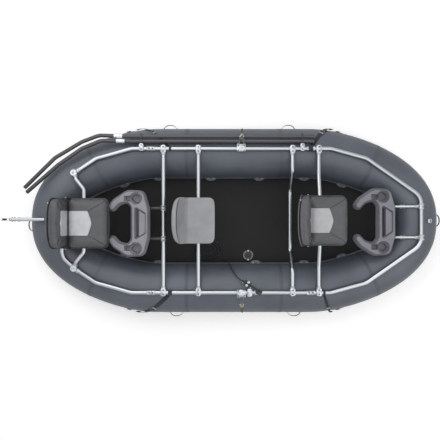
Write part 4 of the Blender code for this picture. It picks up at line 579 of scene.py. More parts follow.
def turned(shape, start, along, profile, sides=32):
    """A shape of revolution from (distance along, radius) pairs."""
    along = Vector(along).normalized()
    first, second = side_of(along)
    rings = []
    for distance, radius in profile:
        middle = Vector(start) + along * distance
        rings.append([middle + first * x + second * y for x, y in disc(max(radius, 0.0001), sides)])
    loft(shape, rings)


def rounded_box(shape, low, high, edge, steps=3):
    """A box between two corners with rounded edges."""
    low, high = Vector(low), Vector(high)
    made = bmesh.ops.create_cube(shape, size=1.0)["verts"]
    for vert in made:
        vert.co = Vector([low[i] if vert.co[i] < 0 else high[i] for i in range(3)])
    edges = list({link for vert in made for link in vert.link_edges})
    bmesh.ops.bevel(shape, geom=edges, offset=edge, segments=steps, profile=0.5, affect="EDGES")


def placed_box(shape, low, high, edge, axes, place):
    """A rounded box with its own axes turned to three directions, at a place."""
    part = bmesh.new()
    rounded_box(part, low, high, edge)
    turn = Matrix(axes).transposed().to_4x4()
    turn.translation = place
    bmesh.ops.transform(part, matrix=turn, verts=part.verts)
    mesh = mesh_of(part, "box")
    shape.from_mesh(mesh)
    bpy.data.meshes.remove(mesh)


def node_copy(node):
    """A CAD node's mesh as a bmesh, its loose triangles merged."""
    shape = bmesh.new()
    shape.from_mesh(bpy.data.objects[node].data)
    bmesh.ops.remove_doubles(shape, verts=shape.verts, dist=0.00002)
    return shape


def remeshed(made, voxel, rounds):
    """An object's mesh remade with small even faces and smoothed."""
    remesh = made.modifiers.new("Remesh", "REMESH")
    remesh.mode = "VOXEL"
    remesh.voxel_size = voxel
    smooth = made.modifiers.new("Smooth", "SMOOTH")
    smooth.factor = 0.5
    smooth.iterations = rounds
    return evaluated(made)


def softened(node, name, finish, voxel, rounds, change, body="frame"):
    """A CAD node remade fine, its edges rounded over and its places changed, as a moulding has them."""
    fine = remeshed(in_scene(name, mesh_of(node_copy(node), name)), voxel, rounds)
    moved = [change(vert.co.copy(), vert.normal.copy()) for vert in fine.vertices]
    for vert, place in zip(fine.vertices, moved):
        vert.co = place
    return dressed(fine, name, finish, body, (node,), smooth=180.0)


def evaluated(made):
    """The mesh that an object's modifiers give; the object itself goes."""
    result = bpy.data.meshes.new_from_object(made.evaluated_get(bpy.context.evaluated_depsgraph_get()))
    result.name = made.name
    bpy.data.objects.remove(made)
    return result


def aimed_points(name, places):
    """A mesh of loose points; each carries the direction its piece faces and the one it lies along."""
    points = bpy.data.meshes.new(name)
    points.from_pydata([place[0] for place in places], [], [])
    for index, word in ((1, "facing"), (2, "along")):
        stored = points.attributes.new(word, "FLOAT_VECTOR", "POINT")
        for place, value in zip(places, stored.data):
            value.vector = Vector(place[index] if len(place) > index else AHEAD).normalized()
    return points


def aimed_rotation(tree, entry):
    """Each point's rotation: up its facing direction, laid along the other one, then turned by chance."""
    facing, along = (
        add_node(tree, "GeometryNodeInputNamedAttribute", {"Name": word},
                 data_type="FLOAT_VECTOR").outputs["Attribute"]
        for word in ("facing", "along"))
    upright = add_node(tree, "FunctionNodeAlignRotationToVector", None, {"Vector": facing}, axis="Z")
    laid = add_node(tree, "FunctionNodeAlignRotationToVector", None,
                    {"Rotation": upright.outputs["Rotation"], "Vector": along}, axis="X", pivot_axis="Z")
    chance = add_node(tree, "FunctionNodeRandomValue", {2: 0.0},
                      {3: entry.outputs["Loose Turn"], 8: entry.outputs["Seed"]}, data_type="FLOAT")
    by = add_node(tree, "FunctionNodeAxisAngleToRotation", None, {"Angle": chance.outputs[1]})
    return add_node(tree, "FunctionNodeRotateRotation", None,
                    {"Rotation": laid.outputs["Rotation"], "Rotate By": by.outputs["Rotation"]},
                    rotation_space="LOCAL").outputs["Rotation"]


def scattered(name, places, shape, finish, body="frame", turn=3.14):
    """Small repeated pieces, such as screws and stitches, set by Geometry Nodes on aimed points."""
    sample = in_scene(f"{name}_sample", mesh_of(shape, f"{name}_sample"))
    tree = bpy.data.node_groups.new(f"{name}_nodes", "GeometryNodeTree")
    tree.interface.new_socket("Geometry", in_out="INPUT", socket_type="NodeSocketGeometry")
    inputs = {}
    for word, kind, value in (("Size", "Float", 1.0), ("Loose Turn", "Float", turn), ("Seed", "Int", 5)):
        socket = tree.interface.new_socket(word, in_out="INPUT", socket_type=f"NodeSocket{kind}")
        inputs[socket.identifier] = value
    tree.interface.new_socket("Geometry", in_out="OUTPUT", socket_type="NodeSocketGeometry")
    entry = add_node(tree, "NodeGroupInput")
    spread = add_node(tree, "GeometryNodeInstanceOnPoints", None, {
        "Points": entry.outputs["Geometry"],
        "Instance": add_node(tree, "GeometryNodeObjectInfo", {"Object": sample}).outputs["Geometry"],
        "Rotation": aimed_rotation(tree, entry),
        "Scale": entry.outputs["Size"],
    })
    real = add_node(tree, "GeometryNodeRealizeInstances", None, {"Geometry": spread.outputs["Instances"]})
    painted = add_node(tree, "GeometryNodeSetMaterial", {"Material": FINISHES[finish]},
                       {"Geometry": real.outputs["Geometry"]})
    add_node(tree, "NodeGroupOutput", None, {"Geometry": painted.outputs["Geometry"]})
    made = in_scene(name, aimed_points(f"{name}_points", places))
    modifier = made.modifiers.new("Spread", "NODES")
    modifier.node_group = tree
    for identifier, value in inputs.items():
        modifier[identifier] = value
    mesh = evaluated(made)
    bpy.data.objects.remove(sample)
    return dressed(mesh, name, finish, body)


def screw_shape(radius, height):
    """A socket-head set screw: a bevelled disc with a hollow."""
    shape = bmesh.new()
    loft(shape, [[(x, y, z) for x, y in disc(size, 12)] for z, size in (
        (-height, radius), (height * 0.7, radius), (height, radius * 0.85), (height, radius * 0.5),
        (height * 0.1, radius * 0.5))])
    return shape


def stitch_shape(length, radius):
    """One lock stitch: a short thread that bows up out of the cloth and dips in at both ends."""
    shape = bmesh.new()
    route = [Vector((length * share, 0.0, 2.2 * radius * (1 - 4 * share * share) - 0.6 * radius))
             for share in (-0.5, -0.25, 0.0, 0.25, 0.5)]
    swept(shape, route, disc(radius, 6))
    return shape


# The hull and the floor


def end_curve(count):
    """Outer edge of one end, port to starboard in even steps: place along, across, and the normal there."""
    points = []
    fine = 1600
    for step in range(fine + 1):
        turn = math.pi / 2 - math.pi * step / fine
        reach = abs(math.cos(turn)) ** (2 / END_POWER)
        points.append((reach, math.copysign(abs(math.sin(turn)) ** (2 / SIDE_POWER), turn)))
    lengths = [0.0]
    for (u, v), (next_u, next_v) in zip(points, points[1:]):
        lengths.append(lengths[-1] + math.hypot((next_u - u) * END_REACH, (next_v - v) * HALF_WIDTH))
    curve = []
    place = 0
    for segment in range(count + 1):
        wanted = lengths[-1] * segment / count
        while place < fine and lengths[place] < wanted:
            place += 1
        u, v = points[place]
        ahead = END_POWER * max(u, 0.0) ** (END_POWER - 1) / END_REACH
        aside = SIDE_POWER * abs(v) ** (SIDE_POWER - 1) / HALF_WIDTH
        length = math.hypot(ahead, aside)
        curve.append((HALF_STRAIGHT + u * END_REACH, v * HALF_WIDTH,
                      ahead / length, math.copysign(aside, v) / length))
    return curve


def tube_size(x):
    """The tube at a place on its centre line: radius to its solid's flat sides, and its underside's level."""
    share = min(max((abs(x) - TAPER_START) / (TAPER_END - TAPER_START), 0.0), 1.0) ** 2
    radius = (TUBE_RADIUS - TUBE_TAPER * share) * math.cos(math.pi / TUBE_SIDES)
    return radius, (BOW_RISE if x > 0 else STERN_RISE) * share


def tube_line(count=72, straight=40):
    """Stations round the whole tube: centre, outward normal, radius and height of the underside."""
    bow = end_curve(count)
    stern = [(-x, y, -nx, ny) for x, y, nx, ny in reversed(bow)]
    places = [HALF_STRAIGHT - 2 * HALF_STRAIGHT * step / straight for step in range(1, straight)]
    outline = list(bow)
    outline += [(x, -HALF_WIDTH, 0.0, -1.0) for x in places]
    outline += stern
    outline += [(-x, HALF_WIDTH, 0.0, 1.0) for x in places]
    stations = []
    for x, y, nx, ny in outline:
        radius = TUBE_RADIUS
        # The radius belongs to the centre line, which lies a radius inside the outline: four rounds settle it
        for _ in range(4):
            radius = tube_size(x - nx * radius)[0]
        stations.append((x - nx * radius, y - ny * radius, nx, ny, radius, tube_size(x - nx * radius)[1]))
    return stations


def tube_point(station, turn, lift=0.0):
    """A place on the tube's skin: turn 0 is its outer side, 90 degrees its top."""
    x, y, nx, ny, radius, bottom = station
    out, up = (radius + lift) * math.cos(turn), (radius + lift) * math.sin(turn)
    return Vector((x + nx * out, y + ny * out, bottom + radius + up))


def tube_axes(station, turn):
    """The directions along the tube and straight out of its skin at a place on it."""
    return (Vector((-station[3], station[2], 0.0)),
            (tube_point(station, turn, 0.01) - tube_point(station, turn)).normalized())


def along_hull(stations, x, side):
    """The station nearest to a place along the boat on its port (1) or starboard (-1) side."""
    return min((item for item in stations if item[1] * side > 0), key=lambda item: abs(item[0] - x))


def hull_skin(stations, sides=72):
    """The inflated tube: one smooth skin, puckered a little on the inner side of its curved ends."""
    shape = bmesh.new()
    rings = []
    for index, station in enumerate(stations):
        ring = []
        for side in range(sides):
            turn = 2 * math.pi * side / sides
            point = tube_point(station, turn)
            inner = max(0.0, -math.cos(turn)) * min(1.0, max(0.0, (abs(station[0]) - 0.6) / 0.5))
            fold = noise.noise(Vector((index * 0.9, turn * 1.3, 0.0))) * 0.0022 * inner
            ring.append(point + tube_axes(station, turn)[1] * fold)
        rings.append(ring)
    loft(shape, rings, looped=True)
    finished(shape, "tube_skin", "hull", replaces=("hull_tube",), smooth=180.0)


def seam_tapes(stations, width):
    """Welded tapes: bands round the tube where its panels meet, and strips along its inside and bottom."""
    shape = bmesh.new()
    turns = [2 * math.pi * step / 72 for step in range(72)]
    for x in (-1.32, -0.46, 0.46, 1.32):
        for side in (-1, 1):
            station = along_hull(stations, x, side)
            reach = tube_axes(station, 0.0)[0] * width / 2
            outer, inner = ([tube_point(station, turn, lift) for turn in turns] for lift in (0.0012, -0.002))
            loft(shape, [[a - reach, a + reach, b + reach, b - reach] for a, b in zip(outer, inner)],
                 looped=True)
    for turn in (math.radians(172.0), math.radians(-32.0)):
        rings = []
        for station in stations:
            half = width / 2 / station[4]
            rings.append([tube_point(station, turn + aside, lift) for aside, lift in (
                (-half, 0.001), (half, 0.001), (half, -0.002), (-half, -0.002))])
        loft(shape, rings, looped=True)
    finished(shape, "seam_tapes", "tape", smooth=50.0)


def patch_disc(shape, station, turn, radius):
    """A round patch that follows the tube's skin."""
    tangent = tube_axes(station, turn)[0]
    rings = []
    for share, height in ((1.0, -0.002), (1.0, 0.00132), (0.97, 0.0022), (0.6, 0.0022), (0.25, 0.0022)):
        rings.append([tube_point(station, turn + across / station[4], height) + tangent * along
                      for along, across in disc(radius * share, 32)])
    loft(shape, rings)


def d_rings(stations):
    """Tie-down rings: a patch on the tube's side, a webbing tab and a steel ring through it."""
    patches, tabs, rings = bmesh.new(), bmesh.new(), bmesh.new()
    half_width, height = 0.021, 0.026
    for x, side, degrees in D_RING_PLACES:
        station = along_hull(stations, x, side)
        turn = math.radians(degrees)
        patch_disc(patches, station, turn, 0.052)
        tangent, outward = tube_axes(station, turn)
        upward = tangent.cross(outward)
        upward = upward if upward.z > 0 else -upward
        base = tube_point(station, turn, 0.0035)
        tab = [base + upward * high + outward * out
               for high, out in ((-0.03, 0.0), (-0.008, 0.001), (0.0, 0.004), (0.004, 0.006))]
        swept(tabs, tab, oblong(0.018, 0.0012), up=outward)
        middle = base + outward * 0.0045 + upward * 0.004
        route = [middle + tangent * half_width]
        for step in range(12):
            angle = math.pi * step / 12
            route.append(middle + tangent * half_width * math.cos(angle) + upward * height * math.sin(angle))
        swept(rings, route, disc(0.0028, 10), up=outward, looped=True)
    finished(patches, "d_ring_patches", "patch", smooth=50.0)
    finished(tabs, "d_ring_tabs", "strap", smooth=50.0)
    finished(rings, "d_rings", "screw", smooth=180.0)


def carry_handle(stations, node, outward, aside):
    """A webbing carry handle: sewn flat at its two ends, with an arch for the hand between them."""
    out = Vector((*outward, 0.0))
    tangent = Vector(TO_PORT) if outward[0] else Vector(AHEAD)
    level = Vector((0.0, 0.0, box_of(node)[2].z))
    reaches = {}
    for station in stations:
        point = tube_point(station, 0.0)
        reaches[point.dot(tangent)] = max(reaches.get(point.dot(tangent), 0.0), point.dot(out))
    keys = sorted(key for key in reaches if reaches[key] > 0)

    def edge(place):
        """How far out the tube's side is at a place along the handle."""
        after = next(index for index, key in enumerate(keys) if key >= place)
        share = (place - keys[after - 1]) / (keys[after] - keys[after - 1])
        return reaches[keys[after - 1]] * (1 - share) + reaches[keys[after]] * share

    half_length, half_arch, height = 0.075, 0.059, 0.037
    route = []
    for step in range(37):
        along = aside - half_length + 2 * half_length * step / 36
        inside = abs(along - aside) / half_arch
        arch = height * math.sqrt(max(0.0, 1.0 - inside**2))
        route.append(tangent * along + out * (edge(along) + 0.0024 + arch) + level)
    shape = bmesh.new()
    swept(shape, route, oblong(0.014, 0.0018), up=out)
    finished(shape, f"{node}_webbing", "webbing", replaces=(node,), smooth=60.0)


def floor_skin(stations):
    """The drop-stitch floor: flat and round-edged, rising with the tube at both ends."""
    thick, edge = 0.13, 0.02
    corner = [(edge * math.cos(turn) - edge, thick - edge + edge * math.sin(turn))
              for turn in (math.pi / 2 * step / 6 for step in range(7))]
    rings = []
    port = [item for item in stations if item[1] >= 0]
    for x, y, nx, ny, radius, bottom in sorted(port, key=lambda item: item[0]):
        inset = math.sqrt(max(radius**2 - (radius - thick) ** 2, 0.0)) + 0.003
        px, py = x - nx * inset, max(abs(y - ny * inset), 0.002)
        if rings and px <= rings[-1][0].x + 0.002:
            continue
        section = [(py + out, high) for out, high in corner]
        section += [((py - edge) * (1 - 2 * share / 24), thick) for share in range(1, 24)]
        section += [(-py - out, high) for out, high in reversed(corner)]
        section += [(-py, edge), (edge - py, 0.0), (py - edge, 0.0), (py, edge)]
        rings.append([Vector((px, across, bottom + high)) for across, high in section])
    shape = bmesh.new()
    loft(shape, rings)
    finished(shape, "floor_skin", "floor", replaces=("floor",), smooth=50.0)


def lacing_flange(stations):
    """The strip round the floor's edge, which the lacing goes through."""
    low, height, width = 0.1303, 0.005, 0.022
    rings = []
    for x, y, nx, ny, radius, bottom in stations:
        outer = -math.sqrt(radius**2 - (radius - low - height) ** 2)
        inner = outer - width
        rings.append([Vector((x + nx * out, y + ny * out, bottom + z)) for out, z in (
            (outer - 0.0005, low), (outer - 0.0005, low + height), (inner, low + 0.004),
            (inner - 0.002, low + 0.002), (inner, low))])
    strip = bmesh.new()
    loft(strip, rings, looped=True)
    finished(strip, "lacing_strip", "flange", replaces=("lacing_flange",), smooth=50.0)


def flange_lobes(stations):
    """Rounded tabs of the flange at each lacing point, and the eyelets in them."""
    lobes, eyelets = bmesh.new(), []
    half_length, depth = 0.062, 0.046
    for x, side in LOBE_PLACES:
        cx, cy, nx, ny, radius, bottom = along_hull(stations, x, side)
        tangent = Vector((-ny, nx, 0.0))
        inward = Vector((-nx, -ny, 0.0))
        inset = math.sqrt(radius**2 - (radius - 0.1353) ** 2) + 0.002
        base = Vector((cx, cy, 0.1305 + bottom)) + inward * inset
        outline = []
        for step in range(25):
            angle = math.pi * step / 24
            outline.append(base + tangent * half_length * math.cos(angle)
                           + inward * depth * math.sin(angle) ** 0.8)
        loft(lobes, [[base + (point - base) * share + Vector((0.0, 0.0, height)) for point in outline]
                     for share, height in ((1.0, 0.0), (1.0, 0.005), (0.94, 0.0065))])
        for shift in (-0.026, 0.026):
            eyelets.append((base + tangent * shift + inward * 0.021 + Vector((0.0, 0.0, 0.0066)), UP))
    finished(lobes, "flange_lobes", "lobe", smooth=50.0)
    eyelet = bmesh.new()
    loft(eyelet, [[(x, y, z) for x, y in disc(size, 16)] for size, z in (
        (0.008, -0.002), (0.008, 0.001), (0.0065, 0.0018), (0.0045, 0.001), (0.004, -0.001))])
    scattered("eyelets", eyelets, eyelet, "screw")


# The camera, the rope and the stage


def make_camera():
    """A camera straight above the raft, which takes in what the photograph does."""
    data = bpy.data.cameras.new("camera")
    data.sensor_width = SENSOR_WIDTH
    data.lens = LENS
    camera = in_scene("camera", data)
    camera.location = CAMERA_PLACE
    bpy.context.scene.camera = camera


def rope_coil():
    """Three loose loops on the floor, wound inwards and out again on top of each other."""
    a_loop, climb = 24, 12
    steps = 3 * a_loop
    widest, gap, stretch, floor_top, layer = 0.105, 0.021, 1.5, 0.1353, 0.011
    path = []
    for step in range(2 * steps + climb + 1):
        inward = min(step, 2 * steps + climb - step, steps) / a_loop
        level = min(max((step - steps) / climb, 0.0), 1.0)
        radius = widest - gap * inward
        turn = math.radians(-80.0) - 2 * math.pi * step / a_loop
        x = COIL_CENTRE[0] + stretch * radius * math.cos(turn)
        y = COIL_CENTRE[1] + radius * math.sin(turn)
        path.append(Vector((x, y, floor_top + layer * level)))
    return path


def smooth_route(points, spacing):
    """Even steps along a smooth curve through a route's points."""
    route = [Vector(point) for point in points]
    padded = [2 * route[0] - route[1]] + route + [2 * route[-1] - route[-2]]
    fine = []
    for a, b, c, d in zip(padded, padded[1:], padded[2:], padded[3:]):
        for step in range(40):
            t = step / 40
            bend = (2 * a - 5 * b + 4 * c - d) * t**2 + (3 * b - a - 3 * c + d) * t**3
            fine.append((2 * b + (c - a) * t + bend) / 2)
    evened = [fine[0]]
    for point in fine:
        if (point - evened[-1]).length >= spacing:
            evened.append(point)
    return evened


def make_rope():
    """The anchor rope, one length from the fairlead to its whipped end in the loops on the floor."""
    coil = rope_coil()
    entry = (coil[0] - coil[1]).normalized()
    route = [CLEAT + PULL_ALONG * reach for reach in (0.1407, 0.1, 0.0, -0.05)]
    route += [Vector(point) for point in ROPE_ROUTE] + [coil[0] + entry * 0.03, coil[0]]
    path = smooth_route(route, 0.012) + coil
    curve = bpy.data.curves.new("anchor_rope", "CURVE")
    curve.dimensions = "3D"
    curve.bevel_depth = ROPE_RADIUS
    curve.bevel_resolution = 4
    curve.use_fill_caps = True
    spline = curve.splines.new("POLY")
    spline.points.add(len(path) - 1)
    for point, place in zip(spline.points, path):
        point.co = (*place, 1.0)
    curve.materials.append(FINISHES["rope"])
    rope = in_scene("anchor_rope", curve)
    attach(rope, "frame")
    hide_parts("anchor_rope_run", "anchor_rope_coil")
    shape = bmesh.new()
    last = (path[-1] - path[-2]).normalized()
    turned(shape, path[-1] - last * 0.018, last,
           [(0.0, 0.0050), (0.001, 0.0056), (0.016, 0.0056), (0.018, 0.0052), (0.021, 0.0040)], 16)
    whipping = finished(shape, "rope_end_whipping", "strap", smooth=50.0)


def make_world():
    """A white world for what the camera sees, and a dimmer one for the light that falls on the raft."""
    world = bpy.data.worlds.new("studio")
    world.use_nodes = True
    tree = world.node_tree
    tree.nodes.clear()
    path = add_node(tree, "ShaderNodeLightPath")
    seen = path.outputs["Is Camera Ray"]
    for kind in ("Is Glossy Ray", "Is Transmission Ray"):
        seen = add_node(tree, "ShaderNodeMath", None, {0: seen, 1: path.outputs[kind]},
                        operation="MAXIMUM").outputs["Value"]
    soft, white = (
        add_node(tree, "ShaderNodeBackground", {"Color": (1.0, 1.0, 1.0, 1.0), "Strength": strength})
        for strength in (0.42, 1.0))
    mixed = add_node(tree, "ShaderNodeMixShader", None,
                     {0: seen, 1: soft.outputs["Background"], 2: white.outputs["Background"]})
    add_node(tree, "ShaderNodeOutputWorld", None, {"Surface": mixed.outputs["Shader"]})
    bpy.context.scene.world = world


def make_studio_floor():
    """A plain pale floor, a little brighter to the camera than its light makes it."""
    ground, tree, shader = new_material("studio_floor_painted", "#f4f4f4", 0.9)
    path = add_node(tree, "ShaderNodeLightPath")
    lit = add_node(tree, "ShaderNodeMath", {1: 0.30}, {0: path.outputs["Is Camera Ray"]},
                   operation="MULTIPLY")
    shader.inputs["Emission Color"].default_value = (1.0, 1.0, 1.0, 1.0)
    tree.links.new(lit.outputs["Value"], shader.inputs["Emission Strength"])
    shape = bmesh.new()
    bmesh.ops.create_grid(shape, x_segments=1, y_segments=1, size=9.0)
    mesh = mesh_of(shape, "studio_floor")
    mesh.materials.append(ground)
    floor = in_scene("studio_floor", mesh)
    floor.location = (0.0, 0.0, -0.0005)


def make_lamps():
    """Three large soft lamps: a key from the port stern, a weaker fill across from it, and one overhead."""
    for name, place, size, power in (
        ("lamp_key", (-2.2, 3.4, 4.6), 6.0, 155.0),
        ("lamp_fill", (3.4, -2.4, 4.2), 5.5, 82.0),
        ("lamp_top", (0.0, 0.0, 6.4), 6.0, 80.0),
    ):
        data = bpy.data.lights.new(name, "AREA")
        data.shape = "DISK"
        data.size = size
        data.energy = power
        lamp = in_scene(name, data)
        lamp.location = place
        lamp.rotation_euler = (-Vector(place)).to_track_quat("-Z", "Y").to_euler()


# The frame and what is clamped to it


def collar(shape, start, along, length, radius, rim=0.0020, bevel=0.0015, sides=40):
    """A cast slip-on sleeve with a thicker rim at each end."""
    width = min(0.008, length / 4)
    profile = [
        (0.0, radius - bevel), (bevel, radius + rim), (width, radius + rim), (width + bevel, radius),
        (length - width - bevel, radius), (length - width, radius + rim), (length - bevel, radius + rim),
        (length, radius - bevel),
    ]
    turned(shape, start, along, profile, sides)


def clamp_cap(shape, place, high, width, depth):
    """The oval top of a split rail clamp, with a bevelled edge."""
    x, y, low = place
    outline = filleted_loop(oblong(width / 2, depth / 2), width * 0.45, 8)
    loft(shape, [[Vector((x + px * share, y + py * share, z)) for px, py in outline]
                 for z, share in ((low, 1.0), (high - 0.0016, 1.0), (high, 0.9))])


def mirrored(route):
    """A route's other half, back along the starboard side."""
    return [Vector((x, -y, z)) for x, y, z in reversed(route)]


def strap_route(side, foot_x, rail_x, rail_radius):
    """A strap's way from its ring on the tube's side, over the tube and round the rail."""
    tube_y, tube_z, over_tube, loop = 0.66, 0.238, 0.2418, rail_radius + 0.0018
    section = []
    for step in range(25):
        turn = math.radians(-8.0 + 89.0 * step / 24)
        section.append((tube_y + over_tube * math.cos(turn), tube_z + over_tube * math.sin(turn)))
    for step in range(29):
        turn = math.radians(-25.0 + 230.0 * step / 28)
        section.append((RAIL_Y + loop * math.cos(turn), RAIL_Z + loop * math.sin(turn)))
    return [Vector((foot_x + (rail_x - foot_x) * min(index / 25, 1.0), side * y, z))
            for index, (y, z) in enumerate(section)]


def band(shape, route, width, thickness, lift=0.0):
    """A flat strap with bevelled edges along a route, its width kept along the boat."""
    half, thin, bevel = width / 2, thickness / 2, 0.001
    section = ((-half, 0.0), (bevel - half, -thin), (half - bevel, -thin), (half, 0.0), (half - bevel, thin),
               (bevel - half, thin))
    rings = []
    for index, point in enumerate(route):
        along = (route[min(index + 1, len(route) - 1)] - route[max(index - 1, 0)]).normalized()
        wide = (Vector(AHEAD) - along * along.x).normalized()
        out = wide.cross(along).normalized()
        rings.append([point + out * lift + wide * a + out * b for a, b in section])
    loft(shape, rings)


def make_straps():
    """Tie-down straps of woven webbing, each with its cam buckle and the loose tail beyond it."""
    bodies, levers = bmesh.new(), bmesh.new()
    for name, side, foot_x, rail_x, rail_radius, width in STRAPS:
        route = strap_route(side, foot_x, rail_x, rail_radius)
        shape = bmesh.new()
        band(shape, route, width, 0.003)
        band(shape, route[15:22], width * 0.98, 0.0022, -0.0030 * side)
        finished(shape, f"{name}_webbing", "strap", replaces=(name,), smooth=60.0)
        place, after = route[13], route[16]
        along = (after - place).normalized()
        wide = (Vector(AHEAD) - along * along.x).normalized()
        out = wide.cross(along)
        out = -out if out.z < 0 else out
        half = width / 2 + 0.004
        for buckle, low, high, edge in (
            (bodies, (-half, -0.020, -0.0015), (half, 0.020, 0.003), 0.0012),
            (levers, (-half + 0.003, -0.016, 0.002), (half - 0.003, 0.006, 0.0085), 0.002),
        ):
            placed_box(buckle, low, high, edge, (wide, along, out), place + out * 0.0035)
    finished(bodies, "strap_buckle_bodies", "screw")
    finished(levers, "strap_buckle_levers", "enamel")


def make_floor_valve():
    """The floor's inflation valve: a stepped ring round a dish, with two pale bows and two buttons on it."""
    low, _, middle = box_of("floor_valve")
    shape = bmesh.new()
    turned(shape, (middle.x, middle.y, low.z), UP, [
        (0.0, 0.053), (0.0030, 0.053), (0.0058, 0.0505), (0.0070, 0.0475), (0.0070, 0.0425), (0.0058, 0.0405),
        (0.0022, 0.0400), (0.0020, 0.0385), (0.0020, 0.0005)], 64)
    finished(shape, "valve_ring", "black", replaces=("floor_valve",), smooth=35.0)
    inlay, buttons, reach = bmesh.new(), bmesh.new(), 0.0445
    for side in (-1, 1):
        turns = [math.radians(90.0 - 90.0 * side + 68.0 * (step / 15 - 1.0)) for step in range(31)]
        arc = [middle + Vector((reach * math.cos(turn), reach * math.sin(turn), 0.0034)) for turn in turns]
        swept(inlay, arc, [(0.0052 * x, 0.0016 * y) for x, y in disc(1.0, 12)])
        turned(buttons, middle + Vector((0.0, side * reach, 0.0022)), UP,
               [(0.0, 0.0088), (0.0022, 0.0088), (0.0032, 0.0080), (0.0036, 0.0060)], 24)
    finished(inlay, "valve_ring_inlay", "valve_inlay", smooth=60.0)
    finished(buttons, "valve_ring_buttons", "valve")


def make_valve_cap():
    """The valve's cap, with the bar that one turns it by."""
    low, high, middle = box_of("floor_valve_cap")
    half_length, half_width = 0.0165, 0.0028
    shape = bmesh.new()
    turned(shape, (middle.x, middle.y, low.z), UP, [
        (0.0, 0.0185), (0.001, 0.0195), (0.007, 0.0195), (0.0092, 0.0178), (0.0100, 0.0150), (0.0092, 0.0120),
        (0.0092, 0.0005)], 48)
    rounded_box(shape, (middle.x - half_length, middle.y - half_width, low.z + 0.008),
                (middle.x + half_length, middle.y + half_width, high.z), 0.0018)
    finished(shape, "valve_cap", "black", body="floor_valve_cap", replaces=("floor_valve_cap",))


def frame_pipe(node, route, bend=0.06, steps=10, arms=()):
    """A pipe of the frame, its corners bent to a radius, with any thinner arms that are welded to it."""
    shape = bmesh.new()
    pipe(shape, filleted(route, bend, steps))
    for arm in arms:
        pipe(shape, filleted(arm, 0.05), TRAY_ARM_RADIUS, 24)
    finished(shape, f"{node}_pipe", "pipe", replaces=(node,), smooth=50.0)


def make_pipes():
    """The frame's bent pipes, each one smooth tube with the bends of a real bender, and the tray arms."""
    tray_x, tray_z = TRAY_BEND
    arms = [[(1.384, y, 0.5007), (1.496, y, 0.5007), (tray_x, y, tray_z)] for y in BOW_TRAY_ARMS]
    frame_pipe("bow_rail", list(BOW_RAIL) + mirrored(BOW_RAIL), 0.15, 12, arms)
    for side, name in ((1, "port"), (-1, "starboard")):
        route = [(x, y * side, z) for x, y, z in STERN_RAIL] + list(ANCHOR_RAIL if side < 0 else ())
        frame_pipe(f"stern_rail_{name}", route, 0.15, 12)
        frame_pipe(f"center_rail_{name}", [(x, side * RAIL_Y, RAIL_Z) for x in (-0.7797, 0.7177)])
    frame_pipe("stern_seat_bar", list(SEAT_BAR) + mirrored(SEAT_BAR))
    bends = {"foot_bar": [(0.465, RAIL_Z), (0.296, RAIL_Z - 0.18)],
             "bow_seat_crossbar": [(0.425, RAIL_Z), (0.235, BAR_Z)]}
    for x, node in TEE_BARS:
        port = [(x, y, z) for y, z in [(0.655, RAIL_Z)] + bends.get(node, [])]
        frame_pipe(node, port + mirrored(port))
    shape = bmesh.new()
    for y in STERN_TRAY_ARMS:
        arm = [(-0.906, y, 0.4507), (-0.794, y, 0.4507), (TRAY_CROSSBAR_X, y, RAIL_Z)]
        pipe(shape, filleted(arm, 0.05), TRAY_ARM_RADIUS, 24)
    finished(shape, "stern_tray_arms", "arm", smooth=50.0)


def make_rower_brackets():
    """The cast brackets that carry the rower's seat on its crossbar: four posts with plates between them."""
    rear, front, half, top = -0.385, -0.285, 0.11, 0.6045
    shape = bmesh.new()
    for x in (rear, front):
        for y in (-half, half):
            pipe(shape, [(x, y, RAIL_Z + 0.016), (x, y, top)], 0.006, 12)
    for y in (-half, half):
        rounded_box(shape, (rear, y - 0.0095, CAP_LOW), (front, y + 0.0095, top), 0.003)
    finished(shape, "rower_seat_brackets", "cast")


def rail_clamp(shape, screws, x, side):
    """A tee on one rail: a sleeve on the rail, another on the crossbar, and the clamp's oval top."""
    y = side * RAIL_Y
    collar(shape, (x - 0.024, y, RAIL_Z), AHEAD, 0.048, COLLAR_RADIUS)
    collar(shape, (x, y - side * 0.018, RAIL_Z), (0.0, -side, 0.0), 0.040, COLLAR_RADIUS)
    clamp_cap(shape, (x, y - side * 0.006, CAP_LOW), CAP_HIGH, 0.050, 0.076)
    screws += [((x, y - side * 0.006 + reach, CAP_HIGH), UP) for reach in (-0.019, 0.019)]


def stern_elbow(shape, side):
    """The upright casting at a stern corner, with the sleeves of the rail and of the seat bar on it."""
    corner, rail, bar = (Vector((x, side * y, z)) for x, y, z in (STERN_CORNER, STERN_BEND, SEAT_BEND))
    turned(shape, corner - Vector((0.0, 0.0, 0.026)), UP, [
        (0.0, 0.030), (0.003, 0.0335), (0.061, 0.0335), (0.066, 0.030), (0.0665, 0.012), (0.064, 0.011),
        (0.064, 0.0005)], 40)
    for pipe_end, length in ((rail, 0.036), (bar, 0.030)):
        along = (pipe_end - corner).normalized()
        collar(shape, corner + along * 0.022, along, length, COLLAR_RADIUS)


